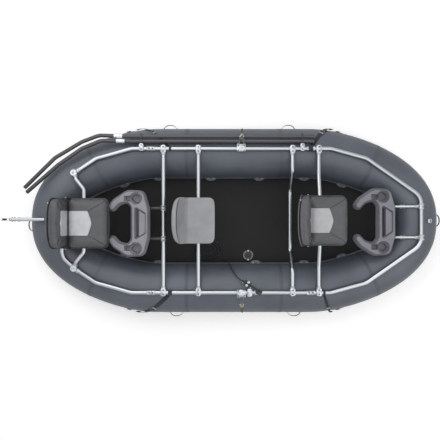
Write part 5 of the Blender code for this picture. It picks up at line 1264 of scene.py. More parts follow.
def make_fittings():
    """Cast slip-on fittings: tees, couplers, elbows and saddles, with their set screws and cross pins."""
    shape, screws, pins = bmesh.new(), [], bmesh.new()
    for x, _ in TEE_BARS:
        for side in (-1, 1):
            rail_clamp(shape, screws, x, side)
    half, radius = 0.04, 0.0242
    for x in (-0.78, 0.718):
        for y in (-RAIL_Y, RAIL_Y):
            collar(shape, (x - half, y, RAIL_Z), AHEAD, 2 * half, radius, 0.0008)
            screws += [((x + reach, y, RAIL_Z + radius), UP) for reach in (-0.016, 0.016)]
    for side in (-1, 1):
        stern_elbow(shape, side)
    tray_x, tray_z = TRAY_BEND
    for y in BOW_TRAY_ARMS:
        collar(shape, (tray_x, y - 0.026, tray_z), TO_PORT, 0.052, 0.0270, 0.0028)
        collar(shape, (tray_x - 0.052, y, tray_z - 0.0187), (0.941, 0.0, 0.338), 0.036, 0.0185, 0.001)
        screws += [((tray_x, y + reach, tray_z + 0.0248), UP) for reach in (-0.014, 0.014)]
        for x, z in ((1.585, 0.5335), (1.560, 0.5247)):
            turned(pins, (x, y - 0.019, z), TO_PORT,
                   [(0.0, 0.005), (0.002, 0.0055), (0.036, 0.0055), (0.038, 0.005)], 16)
    for y in STERN_TRAY_ARMS:
        collar(shape, (TRAY_CROSSBAR_X, y - 0.026, RAIL_Z), TO_PORT, 0.052, 0.0248)
        screws += [((TRAY_CROSSBAR_X, y + reach, RAIL_Z + 0.0248), UP) for reach in (-0.014, 0.014)]
    finished(shape, "pipe_fittings", "cast", smooth=32.0)
    scattered("fitting_set_screws", screws, screw_shape(0.0070, 0.0016), "socket")
    finished(pins, "tray_arm_pins", "screw")


def arm_clamp():
    """The anchor arm's clamp on the cross rail, with the socket that its tube goes into."""
    shape = bmesh.new()
    collar(shape, (ARM_X, ARM_Y - 0.025, BAR_Z), TO_PORT, 0.05, 0.0258)
    collar(shape, (ARM_X, ARM_Y, ARM_Z), (-1.0, 0.0, 0.0), 0.1595, 0.0210, 0.0010)
    rounded_box(shape, (ARM_X - 0.0179, ARM_Y - 0.02, 0.5285), (ARM_X + 0.0181, ARM_Y + 0.02, 0.5400), 0.003)
    finished(shape, "anchor_arm_clamp_casting", "enamel", replaces=("anchor_arm_clamp",), smooth=35.0)


def arm_tube(axle_x):
    """The arm's bright tube with the two cheek plates at its tip and the sheave's axle through them."""
    rear, front, half_height, edge = -2.16, -2.075, 0.0225, 0.0008
    shape = bmesh.new()
    pipe(shape, [(-1.6377, ARM_Y, ARM_Z), (-2.088, ARM_Y, ARM_Z)], 0.016)
    outline = filleted_loop(rectangle(rear, ARM_Z - half_height, front, ARM_Z + half_height), 0.014)
    inset = filleted_loop(rectangle(rear + edge, ARM_Z - half_height + edge, front - edge,
                                    ARM_Z + half_height - edge), 0.0135)
    for side in (-1, 1):
        loft(shape, [[Vector((x, ARM_Y + side * out, z)) for x, z in corners] for corners, out in (
            (outline, 0.0074), (outline, 0.0105), (inset, 0.0113))])
    turned(shape, (axle_x, ARM_Y - 0.0151, ARM_Z), TO_PORT,
           [(0.0, 0.0025), (0.001, 0.0038), (0.0292, 0.0038), (0.0302, 0.0025)], 20)
    finished(shape, "anchor_arm_tube", "pipe", replaces=("anchor_arm",))


def make_arm():
    """The anchor arm: its clamp, its bright tube with cheek plates, its cross pins and its grooved sheave."""
    axle_x = -2.134
    arm_clamp()
    arm_tube(axle_x)
    shape = bmesh.new()
    for x in (-2.062, -2.038, -1.997):
        turned(shape, (x, ARM_Y - 0.0218, ARM_Z), TO_PORT, [
            (0.0, 0.0034), (0.0012, 0.0046), (0.0034, 0.0046), (0.0042, 0.0030), (0.0394, 0.0030),
            (0.0402, 0.0046), (0.0424, 0.0046), (0.0436, 0.0034)], 16)
    finished(shape, "anchor_arm_pins", "socket")
    shape = bmesh.new()
    sheave(shape, (axle_x, ARM_Y, ARM_Z), TO_PORT, 0.0258)
    finished(shape, "anchor_sheave_wheel", "black", body="anchor_sheave", replaces=("anchor_sheave",))
    heads = [((ARM_X, ARM_Y + reach, BAR_Z + 0.0262), UP) for reach in (-0.017, 0.017)]
    heads += [((x, ARM_Y, ARM_Z + 0.0212), UP) for x in (-1.70, -1.735)]
    scattered("arm_clamp_screws", heads, screw_shape(0.0045, 0.0012), "screw")


def sheave(shape, centre, along, radius, half=0.0068):
    """A pulley wheel: round-lipped rims, a rope groove, and dished sides with a hub."""
    hub = [(half, 0.0046), (half, 0.0085), (half * 0.7, 0.0095)]
    rim = [(half * 0.7, radius * 0.80), (half, radius * 0.86), (half, radius * 0.97), (half * 0.85, radius),
           (half * 0.68, radius * 0.95), (half * 0.5, radius * 0.82)]
    side = hub + rim
    profile = [(-distance, size) for distance, size in side] + [(0.0, radius * 0.76)] + side[::-1]
    along = Vector(along)
    first, second = side_of(along, AHEAD)
    loft(shape, [[Vector(centre) + along * distance + first * x + second * y for x, y in disc(size, 40)]
                 for distance, size in profile], looped=True)


def deck_at(along, beside, z, origin=CLEAT):
    """A place along and beside the rope's pull, from the cleat or another origin, at a height."""
    return Vector((origin[0], origin[1], z)) + PULL_ALONG * along + PULL_BESIDE * beside


def slanted_plate(shape, half_length, half_width, low, high, radius):
    """A round-cornered plate under the cleat that lies along the rope's pull."""
    edge = 0.0008
    outline = filleted_loop(oblong(half_length, half_width), radius)
    inner = filleted_loop(oblong(half_length - edge, half_width - edge), radius - edge)
    loft(shape, [[deck_at(x, y, z) for x, y in corners]
                 for corners, z in ((outline, low), (outline, high - edge), (inner, high))])


def make_cleat():
    """The cam cleat's slanted plate and foot, with the posts and toothed cams on it."""
    cam_aside, foot = 0.0176, 0.013
    shape = bmesh.new()
    slanted_plate(shape, 0.050, 0.025, 0.5205, 0.5302, 0.008)
    rounded_box(shape, (CLEAT_CLAMP_X - foot, -0.672, 0.5207), (CLEAT_CLAMP_X + foot, CLEAT.y, 0.5298), 0.001)
    for side in (-1, 1):
        turned(shape, deck_at(0.0, side * cam_aside, 0.5250), UP,
               [(0.0, 0.003), (0.0195, 0.003), (0.0200, 0.0026)], 16)
    finished(shape, "cleat_plate", "enamel", replaces=("cleat_base",), smooth=35.0)
    heads = [(deck_at(a, b, 0.5303), UP) for a in (-0.042, 0.042) for b in (-0.017, 0.017)]
    scattered("cleat_plate_screws", heads, screw_shape(0.0035, 0.0010), "screw")
    for name, side in (("cleat_cam_inner", 1), ("cleat_cam_outer", -1)):
        cam(name, deck_at(0.0, side * cam_aside, 0.0))


def cam(name, centre):
    """One of the cleat's cams: a round body with teeth all round it and a bore for its post."""
    rings = []
    for z, size in ((0.5306, 0.0114), (0.5312, 0.0118), (0.5436, 0.0118), (0.5444, 0.0112), (0.5444, 0.0036),
                    (0.5306, 0.0036)):
        ring = []
        for step in range(72):
            turn = 2 * math.pi * step / 72
            reach = size - (0.0007 if step % 4 < 2 and size > 0.01 else 0.0)
            ring.append(Vector((centre.x + reach * math.cos(turn), centre.y + reach * math.sin(turn), z)))
        rings.append(ring)
    shape = bmesh.new()
    loft(shape, rings, looped=True)
    finished(shape, f"{name}_teeth", "cast", body=name, replaces=(name,), smooth=30.0)


def make_gear_clamps():
    """The clamps that hold the cleat and the deck pulley on the starboard rail."""
    shape, half = bmesh.new(), 0.026
    collar(shape, (CLEAT_CLAMP_X - half, -RAIL_Y, RAIL_Z), AHEAD, 2 * half, COLLAR_RADIUS)
    clamp_cap(shape, (CLEAT_CLAMP_X, -RAIL_Y, CAP_LOW), CAP_HIGH, 0.046, 0.076)
    collar(shape, (box_of("deck_sheave")[2].x - half, -RAIL_Y, RAIL_Z), AHEAD, 2 * half, COLLAR_RADIUS)
    finished(shape, "anchor_gear_clamps", "cast", smooth=35.0)


def make_pulley():
    """The deck pulley beside the cleat: its arm and post, the rope's fairlead, and its sheave."""
    centre = box_of("deck_sheave")[2]
    shape = bmesh.new()
    outline = filleted_loop(rectangle(-0.0055, -0.0248, 0.0455, 0.0248), 0.007)
    loft(shape, [[deck_at(x, y, z, centre) for x, y in outline] for z in (0.5254, 0.5300)])
    turned(shape, (centre.x, centre.y, 0.527), UP, [(0.0, 0.004), (0.0175, 0.004), (0.0182, 0.0034)], 20)
    lead = CLEAT + PULL_ALONG * FAIRLEAD_REACH
    rings = []
    for distance, size in ((0.0, 0.0055), (0.0, 0.0078), (0.0015, 0.0090), (0.017, 0.0088), (0.019, 0.0070),
                           (0.018, 0.0055)):
        rings.append([lead + PULL_ALONG * distance + PULL_BESIDE * x + Vector((0.0, 0.0, y))
                      for x, y in disc(size, 28)])
    loft(shape, rings, looped=True)
    finished(shape, "deck_pulley_body", "enamel", replaces=("deck_pulley",), smooth=35.0)
    shape = bmesh.new()
    sheave(shape, centre, UP, 0.0158)
    finished(shape, "deck_sheave_wheel", "black", body="deck_sheave", replaces=("deck_sheave",))


def rod_tube(name, y):
    """A glossy rod tube along the rail, with a flared mouth and a bore."""
    rear = -0.9765
    # Places from the rear end, with their radii: along the outside, round the mouth, back into the bore
    barrel = [(0.0, 0.0166), (0.0, 0.0192), (0.0008, 0.0199), (1.677, 0.0199)]
    mouth = [(1.681, 0.0208), (1.690, 0.0211), (1.700, 0.0205), (1.710, 0.0205), (1.7225, 0.0213),
             (1.7265, 0.0207), (1.7260, 0.0181), (1.677, 0.0166)]
    shape = bmesh.new()
    loft(shape, [[Vector((rear + distance, y + a, RAIL_Z + b)) for a, b in disc(size, 36)]
                 for distance, size in barrel + mouth], looped=True)
    finished(shape, f"{name}_barrel", "rod", replaces=(name,), smooth=35.0)


def rod_tip(name, y, shares, coupler_x, marks):
    """A rod tube's bent tip with a domed end, and the bright coupler that joins its two lengths."""
    neck, boat_half = Vector((-0.997, y, RAIL_Z)), HALF_STRAIGHT + END_REACH
    bends = [Vector((along * boat_half, across * y, RAIL_Z)) for along, across in shares]
    route = filleted([Vector((-0.938, y, RAIL_Z)), neck] + bends, 0.16, 12)
    end = (route[-1] - route[-2]).normalized()
    route[-1] = route[-1] - end * 0.009
    shape = bmesh.new()
    pipe(shape, route, 0.0186)
    turned(shape, route[-1] - end * 0.002, end,
           [(0.0, 0.0185), (0.002, 0.0182), (0.006, 0.0165), (0.009, 0.0125), (0.0105, 0.0045)])
    finished(shape, f"{name}_tube", "rod", replaces=(name,), smooth=35.0)
    first = bends[0] - neck
    along = first.normalized()
    start = neck + first * ((coupler_x - neck.x) / first.x) - along * 0.04
    shape = bmesh.new()
    collar(shape, start, along, 0.08, 0.0206, 0.0012, sides=36)
    finished(shape, f"{name}_coupler", "bright", smooth=35.0)
    marks += [(start + along * reach + Vector((0.0, 0.0, 0.0208)), UP) for reach in (0.022, 0.058)]


def rod_clamp(name, bolts):
    """A moulded plate that holds both rod tubes, with the cast saddle that grips the rail under it."""
    low, high, middle = box_of(name)
    gap, bevel, cap_high, cap_y = 0.0004, 0.0015, high.z + 0.0058, 0.687
    outline = filleted_loop(oblong((high.y - low.y) / 2 - gap, (high.z - low.z) / 2 - gap), 0.020, 8)
    shape = bmesh.new()
    levels = ((low.x, 0.99), (low.x + bevel, 1.0), (high.x - bevel, 1.0), (high.x, 0.99))
    loft(shape, [[Vector((x, middle.y + y * share, middle.z + z * share)) for y, z in outline]
                 for x, share in levels])
    finished(shape, f"{name}_plate", "black", replaces=(name,), smooth=30.0)
    bolts += [((middle.x, y, high.z), UP) for y in (0.712, 0.7675)]
    shape = bmesh.new()
    for start in (middle.x - 0.0185, middle.x + 0.0075):
        collar(shape, (start, RAIL_Y, RAIL_Z), AHEAD, 0.011, 0.0258, 0.0008)
    clamp_cap(shape, (middle.x, cap_y, high.z + 0.0003), cap_high, 0.042, 0.070)
    finished(shape, f"{name}_saddle", "cast", smooth=35.0)
    bolts += [((middle.x, cap_y + reach, cap_high), UP) for reach in (-0.019, 0.019)]


def make_rod_holder():
    """The rod holder: two glossy tubes with flared mouths, bent tips with couplers, and their clamps."""
    rod_tube("rod_tube_inner", 0.745)
    rod_tube("rod_tube_outer", 0.790)
    marks, bolts = [], []
    for name, y, shares, coupler_x in ROD_TIPS:
        rod_tip(name, y, shares, coupler_x, marks)
    scattered("rod_coupler_screws", marks, screw_shape(0.0044, 0.0014), "socket")
    for name in ("rod_clamp_aft", "rod_clamp_fore"):
        rod_clamp(name, bolts)
    scattered("rod_clamp_bolts", bolts, screw_shape(0.0060, 0.0016), "socket")


# The seats


def inflated(mesh, pressure, cap):
    """A closed mesh blown up as cloth for twenty frames, none of its places moved further than a cap."""
    rest = [vert.co.copy() for vert in mesh.vertices]
    made = in_scene(f"{mesh.name}_cloth", mesh)
    cloth = made.modifiers.new("Cloth", "CLOTH")
    cloth.settings.use_pressure = True
    cloth.settings.uniform_pressure_force = pressure
    cloth.settings.quality = 5
    cloth.settings.mass = 0.4
    cloth.settings.effector_weights.gravity = 0.0
    cloth.collision_settings.use_collision = False
    cloth.point_cache.frame_start = 1
    cloth.point_cache.frame_end = 20
    for step in range(1, 21):
        bpy.context.scene.frame_set(step)
    result = evaluated(made)
    bpy.context.scene.frame_set(1)
    for vert, before in zip(result.vertices, rest):
        move = vert.co - before
        if move.length > cap:
            vert.co = before + move.normalized() * cap
    return result


def swollen(node, shrink, voxel, pressure, cap):
    """A CAD pad made a little smaller, remade as even cloth, blown up by simulation, and made finer."""
    shape = node_copy(node)
    centre = sum((vert.co for vert in shape.verts), Vector()) / len(shape.verts)
    for vert in shape.verts:
        vert.co = centre + (vert.co - centre) * shrink
    mesh = remeshed(in_scene(f"{node}_start", mesh_of(shape, f"{node}_start")), voxel, 6)
    mesh = inflated(mesh, pressure, cap)
    made = in_scene(f"{node}_fine", mesh)
    made.modifiers.new("Finer", "SUBSURF").levels = 1
    return evaluated(made)


def groove(mesh, lines, width, depth, facing):
    """Presses sewn channels into a pad along lines of points, on the side that faces one way."""
    flat = Matrix.Identity(3) - Matrix([[facing[i] * facing[j] for j in range(3)] for i in range(3)])
    segments = [(flat @ Vector(a), flat @ Vector(b)) for line in lines for a, b in zip(line, line[1:])]
    normals = [vert.normal.copy() for vert in mesh.vertices]
    for vert, normal in zip(mesh.vertices, normals):
        if normal.dot(facing) < 0.25:
            continue
        place = flat @ vert.co
        near = 1.0
        for a, b in segments:
            along = b - a
            share = max(0.0, min(1.0, (place - a).dot(along) / along.length_squared))
            near = min(near, (place - a - along * share).length)
        if near < 3 * width:
            vert.co -= facing * depth * math.exp(-(near / width) ** 2)


def on_surface(tree, point, facing, lift=0.0):
    """The place on a pad under a point, seen from the side that it faces."""
    hit = tree.ray_cast(Vector(point) + facing * 0.4, -facing)[0]
    return (hit if hit else Vector(point)) + facing * lift


def stretched(line, spacing):
    """A line of points with extra points between them."""
    result = []
    for a, b in zip(line, line[1:]):
        count = max(1, round((Vector(b) - Vector(a)).length / spacing))
        result += [Vector(a).lerp(Vector(b), step / count) for step in range(count)]
    return result + [Vector(line[-1])]


def encloses(outline, place):
    """Whether a flat outline goes round a place: it is crossed an odd number of times on one side."""
    within = False
    for (ax, ay), (bx, by) in zip(outline, outline[1:] + outline[:1]):
        if (ay > place[1]) != (by > place[1]) and place[0] < ax + (bx - ax) * (place[1] - ay) / (by - ay):
            within = not within
    return within


def paint_panel(mesh, panel, facing, finish):
    """Gives the faces of a pad that lie within its panel's outline the panel's own vinyl."""
    flat = [index for index in range(3) if abs(facing[index]) < 0.5]
    outline = [tuple(point[index] for index in flat) for point in panel]
    mesh.materials.append(FINISHES["seat"])
    mesh.materials.append(FINISHES[finish])
    for face in mesh.polygons:
        if face.normal.dot(facing) > 0.3 and encloses(outline, [face.center[index] for index in flat]):
            face.material_index = 1


def stitch_places(tree, lines, facing):
    """Where stitches lie beside each line, on its outer side: the place, the way up and the way along."""
    places = []
    for line, offset in lines:
        middle = sum((Vector(point) for point in line), Vector()) / len(line)
        points = stretched(line, 0.0075)
        for a, b in zip(points, points[1:]):
            aside = (b - a).cross(facing).normalized()
            if (a - middle).dot(aside) < 0:
                aside = -aside
            start = on_surface(tree, a + aside * offset, facing)
            end = on_surface(tree, a + aside * offset + (b - a) * 0.7, facing)
            along = end - start
            if along.length < 0.02:
                upright = facing - along * facing.dot(along) / along.length_squared
                places.append(((start + end) / 2, upright, along))
    return places


def sewn_pad(node, body, panel, seams, facing, panel_finish, settings, change):
    """A stuffed vinyl pad: swollen cloth with a paler panel, piping round it, seams and stitches."""
    facing, edge, beyond = Vector(facing), panel + panel[:1], 0.004
    mesh = swollen(node, 0.985, 0.005, settings.pad_pressure, 0.008)
    for vert in mesh.vertices:
        vert.co = change(vert.co)
    mesh.update()
    groove(mesh, [edge] + seams, 0.006, settings.seam_depth, facing)
    paint_panel(mesh, panel, facing, panel_finish)
    lowest, highest, _ = box_of(node)
    for vert in mesh.vertices:
        for index in range(3):
            vert.co[index] = min(max(vert.co[index], lowest[index] - beyond), highest[index] + beyond)
    pad = dressed(mesh, f"{node}_vinyl", "seat", body, (node,), smooth=180.0)
    tree = BVHTree.FromPolygons([vert.co for vert in mesh.vertices],
                                [face.vertices for face in mesh.polygons])
    shape = bmesh.new()
    loop = [on_surface(tree, point, facing) for point in stretched(edge, 0.006)[:-1]]
    swept(shape, loop, disc(0.0022, 10), up=facing, looped=True)
    finished(shape, f"{node}_panel_piping", panel_finish, body, smooth=60.0)
    shape = bmesh.new()
    for seam in seams:
        pipe(shape, [on_surface(tree, point, facing, 0.0006) for point in stretched(seam, 0.006)], 0.0016, 8)
    finished(shape, f"{node}_seam_piping", "strap", body, smooth=60.0)
    places = stitch_places(tree, [(edge, 0.0075)] + [(seam, 0.005) for seam in seams], facing)
    scattered(f"{node}_stitches", places, stitch_shape(0.0052, 0.0005), "strap", body, turn=0.12)


def seat_mount(name, x, y):
    """A folding seat's saddle on its bar, two webs under a square plate, its bolts and the swivel's rings."""
    half, web, reach, plate_low, plate_high = 0.08, 0.045, 0.066, 0.5752, 0.5811
    shape = bmesh.new()
    collar(shape, (x, y - web, BAR_Z), TO_PORT, 2 * web, 0.0256)
    outline = filleted_loop(rectangle(x - half, y - half, x + half, y + half), 0.018)
    loft(shape, [[Vector((px, py, level)) for px, py in outline] for level in (plate_low, plate_high)])
    for web_y in (y - web, y + web):
        rounded_box(shape, (x - 0.03, web_y - 0.003, 0.545), (x + 0.03, web_y + 0.003, 0.5765), 0.001)
    finished(shape, f"{name}_mount_casting", "enamel", replaces=(f"{name}_mount",), smooth=35.0)
    shape = bmesh.new()
    turned(shape, (x, y, 0.5816), UP, [
        (0.0, 0.052), (0.0008, 0.0548), (0.0026, 0.0548), (0.0029, 0.0530), (0.0033, 0.0530),
        (0.0036, 0.0548), (0.0050, 0.0548), (0.0058, 0.053)], 64)
    finished(shape, f"{name}_swivel_rings", "screw", body=name, replaces=(f"{name}_swivel",), smooth=35.0)
    heads = [((x + dx, y + dy, 0.5812), UP) for dx in (-reach, reach) for dy in (-reach, reach)]
    scattered(f"{name}_plate_bolts", heads, screw_shape(0.0055, 0.0018), "screw")


def seat_cushion(name, x, y, panel_finish, settings, change):
    """The seat's bottom pad: a panel with a rounded nose, and a seam from each of its front corners."""
    half, top = 0.110, 0.686
    rear, front, tip = x + SEAT_PANEL_REAR, x + 0.062, x + 0.098
    nose = [(front + (tip - front) * (1 - abs(share) ** 1.35), y + half * share, top)
            for share in (step / 4 - 1.0 for step in range(9))]
    panel = [(rear, y + half, top), (rear, y - half, top)] + nose
    seams = [[(ahead, y + side * aside, top)
              for ahead, aside in ((front + 0.008, 0.113), (x + 0.150, 0.158), (x + 0.222, 0.206))]
             for side in (-1, 1)]
    sewn_pad(f"{name}_cushion", name, panel, seams, UP, panel_finish, settings, change)


def seat_back(name, x, y, panel_finish, settings, change):
    """The seat's back pad, with seams from the panel's top corners, and its hinge nuts and button."""
    body, face, half, panel_low, hinge_z = f"{name}_back", x - SEAT_HINGE, 0.110, 0.640, 0.69606
    outline = filleted_loop(rectangle(y - half, panel_low, y + half, SEAT_BACK_TOP - 0.048), 0.012, 4)
    seams = [[(face, y + side * aside, SEAT_BACK_TOP - drop)
              for aside, drop in ((0.106, 0.052), (0.185, 0.016))]
             for side in (-1, 1)]
    panel = [(face, *corner) for corner in outline]
    sewn_pad(f"{name}_back_cushion", body, panel, seams, AHEAD, panel_finish, settings, change)
    shape = bmesh.new()
    for side in (-1, 1):
        turned(shape, (face, y + side * 0.2328, hinge_z), (0.0, side, 0.0),
               [(0.0, 0.0075), (0.0035, 0.0075), (0.0045, 0.006)], 6)
    finished(shape, f"{name}_hinge_nuts", "screw", body=body, smooth=30.0)
    shape = bmesh.new()
    turned(shape, (x - 0.228, y + 0.178, SEAT_BACK_TOP - 0.0012), UP,
           [(0.0, 0.0045), (0.0012, 0.0045), (0.0018, 0.0035)], 20)
    finished(shape, f"{name}_back_button", "valve", body=body)


def make_seat(name, x, y, panel_finish, settings):
    """A folding fishing seat: saddle and plates, swivel, moulded pan with hinge ears, shell and two pads."""

    def bowed(point, _=None):
        """Curves the back round the sitter: its rear comes forward at both sides and its top corners drop."""
        across = min(abs(point.y - y) / 0.2375, 1.0)
        rear = max(0.0, min((x - 0.137 - point.x) / 0.05, 1.0))
        point.x += 0.034 * rear * across ** 3
        point.z -= 0.016 * max(0.0, (point.z - 0.78) / 0.125) * across ** 4
        return point

    def rounded(point, _=None):
        """Draws the cushion's front edge back at its corners."""
        across = abs(point.y - y) / 0.2275
        point.x -= 0.012 * max(0.0, (point.x - x - 0.10) / 0.146) * across ** 2
        return point

    seat_mount(name, x, y)
    softened(f"{name}_pan", f"{name}_pan_moulding", "shell", 0.0028, 4, rounded, name)
    softened(f"{name}_back_shell", f"{name}_back_shell_cover", "seat", 0.0028, 6, bowed, f"{name}_back")
    seat_cushion(name, x, y, panel_finish, settings, rounded)
    seat_back(name, x, y, panel_finish, settings, bowed)


def make_rower_seat():
    """The rower's rotomoulded seat: rounded all over, dished where one sits, with a raised back lip."""
    wall, half, floor_z, lip_z = -0.516, 0.21, 0.638, 0.612

    def dish(point, _):
        """Sweeps the floor up into a low back, where the solid only has a lip, and rounds the back's plan."""
        across = abs(point.y) / half
        if point.z > 0.630 and point.x > wall - 0.002:
            climb = max(0.0, 1.0 - (point.x - wall) / 0.098)
            point.z = max(point.z, floor_z + 0.132 * climb ** 1.5)
        elif point.x <= wall - 0.002 and point.z > lip_z:
            point.z += 0.080 * (point.z - lip_z) / 0.078
        back = max(0.0, (-0.40 - point.x) / 0.168)
        front = max(0.0, (point.x + 0.27) / 0.09)
        point.x += 0.040 * back ** 1.4 * across ** 2.6 - 0.008 * front * across ** 3
        if point.z > 0.69:
            point.z -= 0.045 * (point.z - 0.69) / 0.08 * across ** 3
        return point

    softened("rower_seat", "rower_seat_moulding", "rower", 0.003, 16, dish)


# The braces and the oarlocks


def standing_brace(name, x, y, top):
    """A rotomoulded standing brace: cup wells, rod slots and a pocket, all softly rounded."""
    cup_back, cup_aside, cup_radius, floor = 0.110, 0.234, 0.0445, top - 0.0547
    slot_back, slot_aside, step_depth, draft = 0.178, 0.230, 0.026, 0.017

    def moulded(point, normal):
        """Gives the walls the draft of a moulding, and sinks a keyhole step round each cup and slot."""
        ahead, beside = point.x - x, abs(point.y - y)
        ring = math.hypot(ahead + cup_back, beside - cup_aside)
        neck = max(abs(ahead + slot_back) - 0.042, abs(beside - slot_aside) - 0.026)
        inside = max((0.0575 - ring) / 0.003, -neck / 0.003)
        if point.z > top - 0.012 and normal.z > 0.5:
            point.z -= step_depth * max(0.0, min(inside, 1.0))
        if abs(normal.z) < 0.7 and inside < 0.0:
            flat = Vector((normal.x, normal.y, 0.0))
            point += flat * draft * max(0.0, min((top - 0.010 - point.z) / 0.045, 1.0))
        return point

    softened(name, f"{name}_moulding", name, 0.0032, 7, moulded)
    shape = bmesh.new()
    rear, front = -0.088, -0.026
    outline = filleted_loop([(front, -0.086), (rear, -0.124), (rear, 0.124), (front, 0.086)], 0.010)
    rings = []
    for z, reach in ((floor, 0.0), (top - 0.030, 0.0), (top - 0.018, 0.006), (top - 0.015, 0.012)):
        fall = 0.07 if reach else 0.0
        rings.append([Vector((x + max(px, rear + reach), y + py, z - fall * (px + 0.057)))
                      for px, py in outline])
    loft(shape, rings)
    finished(shape, f"{name}_pocket_shelf", name)
    # A thin black sheet on the trench's floor beside the shelf: painted shade for the deep trench, not a part
    # of the brace
    shape = bmesh.new()
    rounded_box(shape, (x - 0.113, y - 0.135, floor), (x - 0.0885, y + 0.135, top - 0.050), 0.001)
    finished(shape, f"{name}_trench_mat", "black")
    shape = bmesh.new()
    for side in (-1, 1):
        centre = Vector((x - cup_back, y + side * cup_aside, top - 0.0258))
        lip = [centre + Vector((ahead, aside, 0.0)) for ahead, aside in disc(cup_radius, 48)]
        swept(shape, lip, disc(0.0022, 10), looped=True)
    finished(shape, f"{name}_cup_lips", name, smooth=60.0)


def make_trays():
    """The two standing braces, at the stern and at the bow."""
    standing_brace("stern_tray", -0.806, -0.027, 0.55)
    standing_brace("bow_tray", 1.484, -0.013, 0.60)


def oar_stand(word, side, base, along):
    """An oar stand: its block and clamps on the rail, two legs and the socket that the oarlock turns in."""
    block_top, middle_x, legs_y = 0.5278, 0.067, side * 0.710
    shape = bmesh.new()
    low_y, high_y = sorted((side * 0.6455, side * 0.7185))
    rounded_box(shape, (0.0238, low_y, 0.4765), (0.1102, high_y, block_top), 0.008, 4)
    for x in (0.030, 0.104):
        collar(shape, (x - 0.0062, side * RAIL_Y, RAIL_Z), AHEAD, 0.0124, 0.0255, 0.0008)
    for spread in (-0.028, 0.028):
        foot = Vector((middle_x + spread, legs_y, 0.5192))
        head = Vector((middle_x + spread * 0.5, base.y, base.z))
        pipe(shape, [foot, head], 0.009, 24)
        collar(shape, foot, head - foot, 0.014, 0.0112, 0.0006, 0.001, 24)
    turned(shape, base - along * 0.0298, along,
           [(0.0, 0.0150), (0.0015, 0.0168), (0.058, 0.0168), (0.0596, 0.0150)], 36)
    finished(shape, f"oar_stand_{word}_casting", "cast", replaces=(f"oar_stand_{word}",), smooth=35.0)
    bolts = [((x, side * y, block_top), UP) for y in (0.656, 0.701) for x in (0.040, 0.094)]
    scattered(f"oar_stand_{word}_bolts", bolts, screw_shape(0.0066, 0.0020), "socket")


def horn(share):
    """The section of an oarlock's horns: thick at the shaft, slimmer up, with a ball at each tip."""
    up = abs(share - 0.5) * 2
    size = 0.0062 - 0.0012 * up
    if up > 0.93:
        size = 0.0050 + 0.0016 * math.sin(math.pi * min((up - 0.93) / 0.07, 1.0) * 0.8)
    return disc(size, 16)


def oarlock(word, base, along, outward):
    """A cast oarlock: its shaft, the two horns in one curve, and the black tips on them."""
    body = f"oarlock_{word}"
    reach, tops = 0.031, ((0.0330, 0.1193), (0.0312, 0.0983))
    shape = bmesh.new()
    turned(shape, base - along * 0.0391, along, [
        (0.0, 0.0070), (0.0012, 0.0086), (0.0076, 0.0086), (0.0088, 0.0079), (0.0690, 0.0079),
        (0.0694, 0.0118), (0.0705, 0.0129), (0.0738, 0.0129), (0.0752, 0.0110)], 28)
    route = [base - outward * aside + along * high for aside, high in tops]
    for step in range(17):
        turn = math.pi + math.pi * step / 16
        route.append(base + outward * (reach * math.cos(turn)) + along * (0.0673 + reach * math.sin(turn)))
    route += [base + outward * aside + along * high for aside, high in reversed(tops)]
    route = filleted(route, 0.02, 3)
    swept(shape, route, horn, up=AHEAD)
    tips = bmesh.new()
    for end in (route[0], route[-1]):
        ball = bmesh.ops.create_uvsphere(tips, u_segments=16, v_segments=10, radius=0.0062)["verts"]
        bmesh.ops.translate(tips, vec=end - along * 0.003, verts=ball)
    finished(tips, f"oarlock_{word}_tips", "black", body=body, smooth=60.0)
    finished(shape, f"oarlock_{word}_casting", "brass", body=body, replaces=(body,), smooth=60.0)


def make_oarlocks():
    """The oar stands and the oarlocks in them, both tilted a little outwards."""
    tilt = math.radians(10.0)
    for side, word in ((1, "port"), (-1, "starboard")):
        base = Vector((0.067, side * 0.77, 0.6172))
        along = Vector((0.0, side * math.sin(tilt), math.cos(tilt)))
        outward = Vector((0.0, side * math.cos(tilt), -math.sin(tilt)))
        oar_stand(word, side, base, along)
        oarlock(word, base, along, outward)


def make_bow_ring(stations):
    """The pale tie-down ring on top of the bow tube, on a patch of its own."""
    station = min((item for item in stations if item[0] > 0), key=lambda item: abs(item[1]))
    turn = math.radians(70.0)
    shape = bmesh.new()
    patch_disc(shape, station, turn, 0.032)
    finished(shape, "bow_ring_patch", "patch", smooth=50.0)
    base, out, side = tube_point(station, turn, 0.0042), tube_axes(station, turn)[1], Vector(TO_PORT)
    ahead = side.cross(out)
    shape = bmesh.new()
    placed_box(shape, (-0.011, -0.017, -0.0012), (0.011, 0.017, 0.0012), 0.0008, (ahead, side, out), base)
    route = [base + side * (0.018 * math.cos(angle)) + ahead * (0.012 + 0.013 * math.sin(angle)) + out * 0.004
             for angle in (2 * math.pi * step / 32 for step in range(32))]
    swept(shape, route, disc(0.0024, 10), up=out, looped=True)
    finished(shape, "bow_ring", "valve", smooth=60.0)


def make_hull(settings):
    """The tube with its seam tapes, tie-down rings and carry handles."""
    stations = tube_line()
    hull_skin(stations)
    seam_tapes(stations, settings.tape_width)
    d_rings(stations)
    for node, outward, aside in HANDLES:
        carry_handle(stations, node, outward, aside)
    make_bow_ring(stations)


def make_floor_group():
    """The drop-stitch floor, its laced flange with eyelets, and its valve."""
    stations = tube_line()
    floor_skin(stations)
    lacing_flange(stations)
    flange_lobes(stations)
    make_floor_valve()
    make_valve_cap()


# The add-on


def color_setting(name, thing, code):
    """A colour that the user may change, its default given as a hex code."""
    return bpy.props.FloatVectorProperty(name=name, description=f"Colour of {thing}", subtype="COLOR", size=3,
                                         min=0.0, max=1.0, default=linear(code))


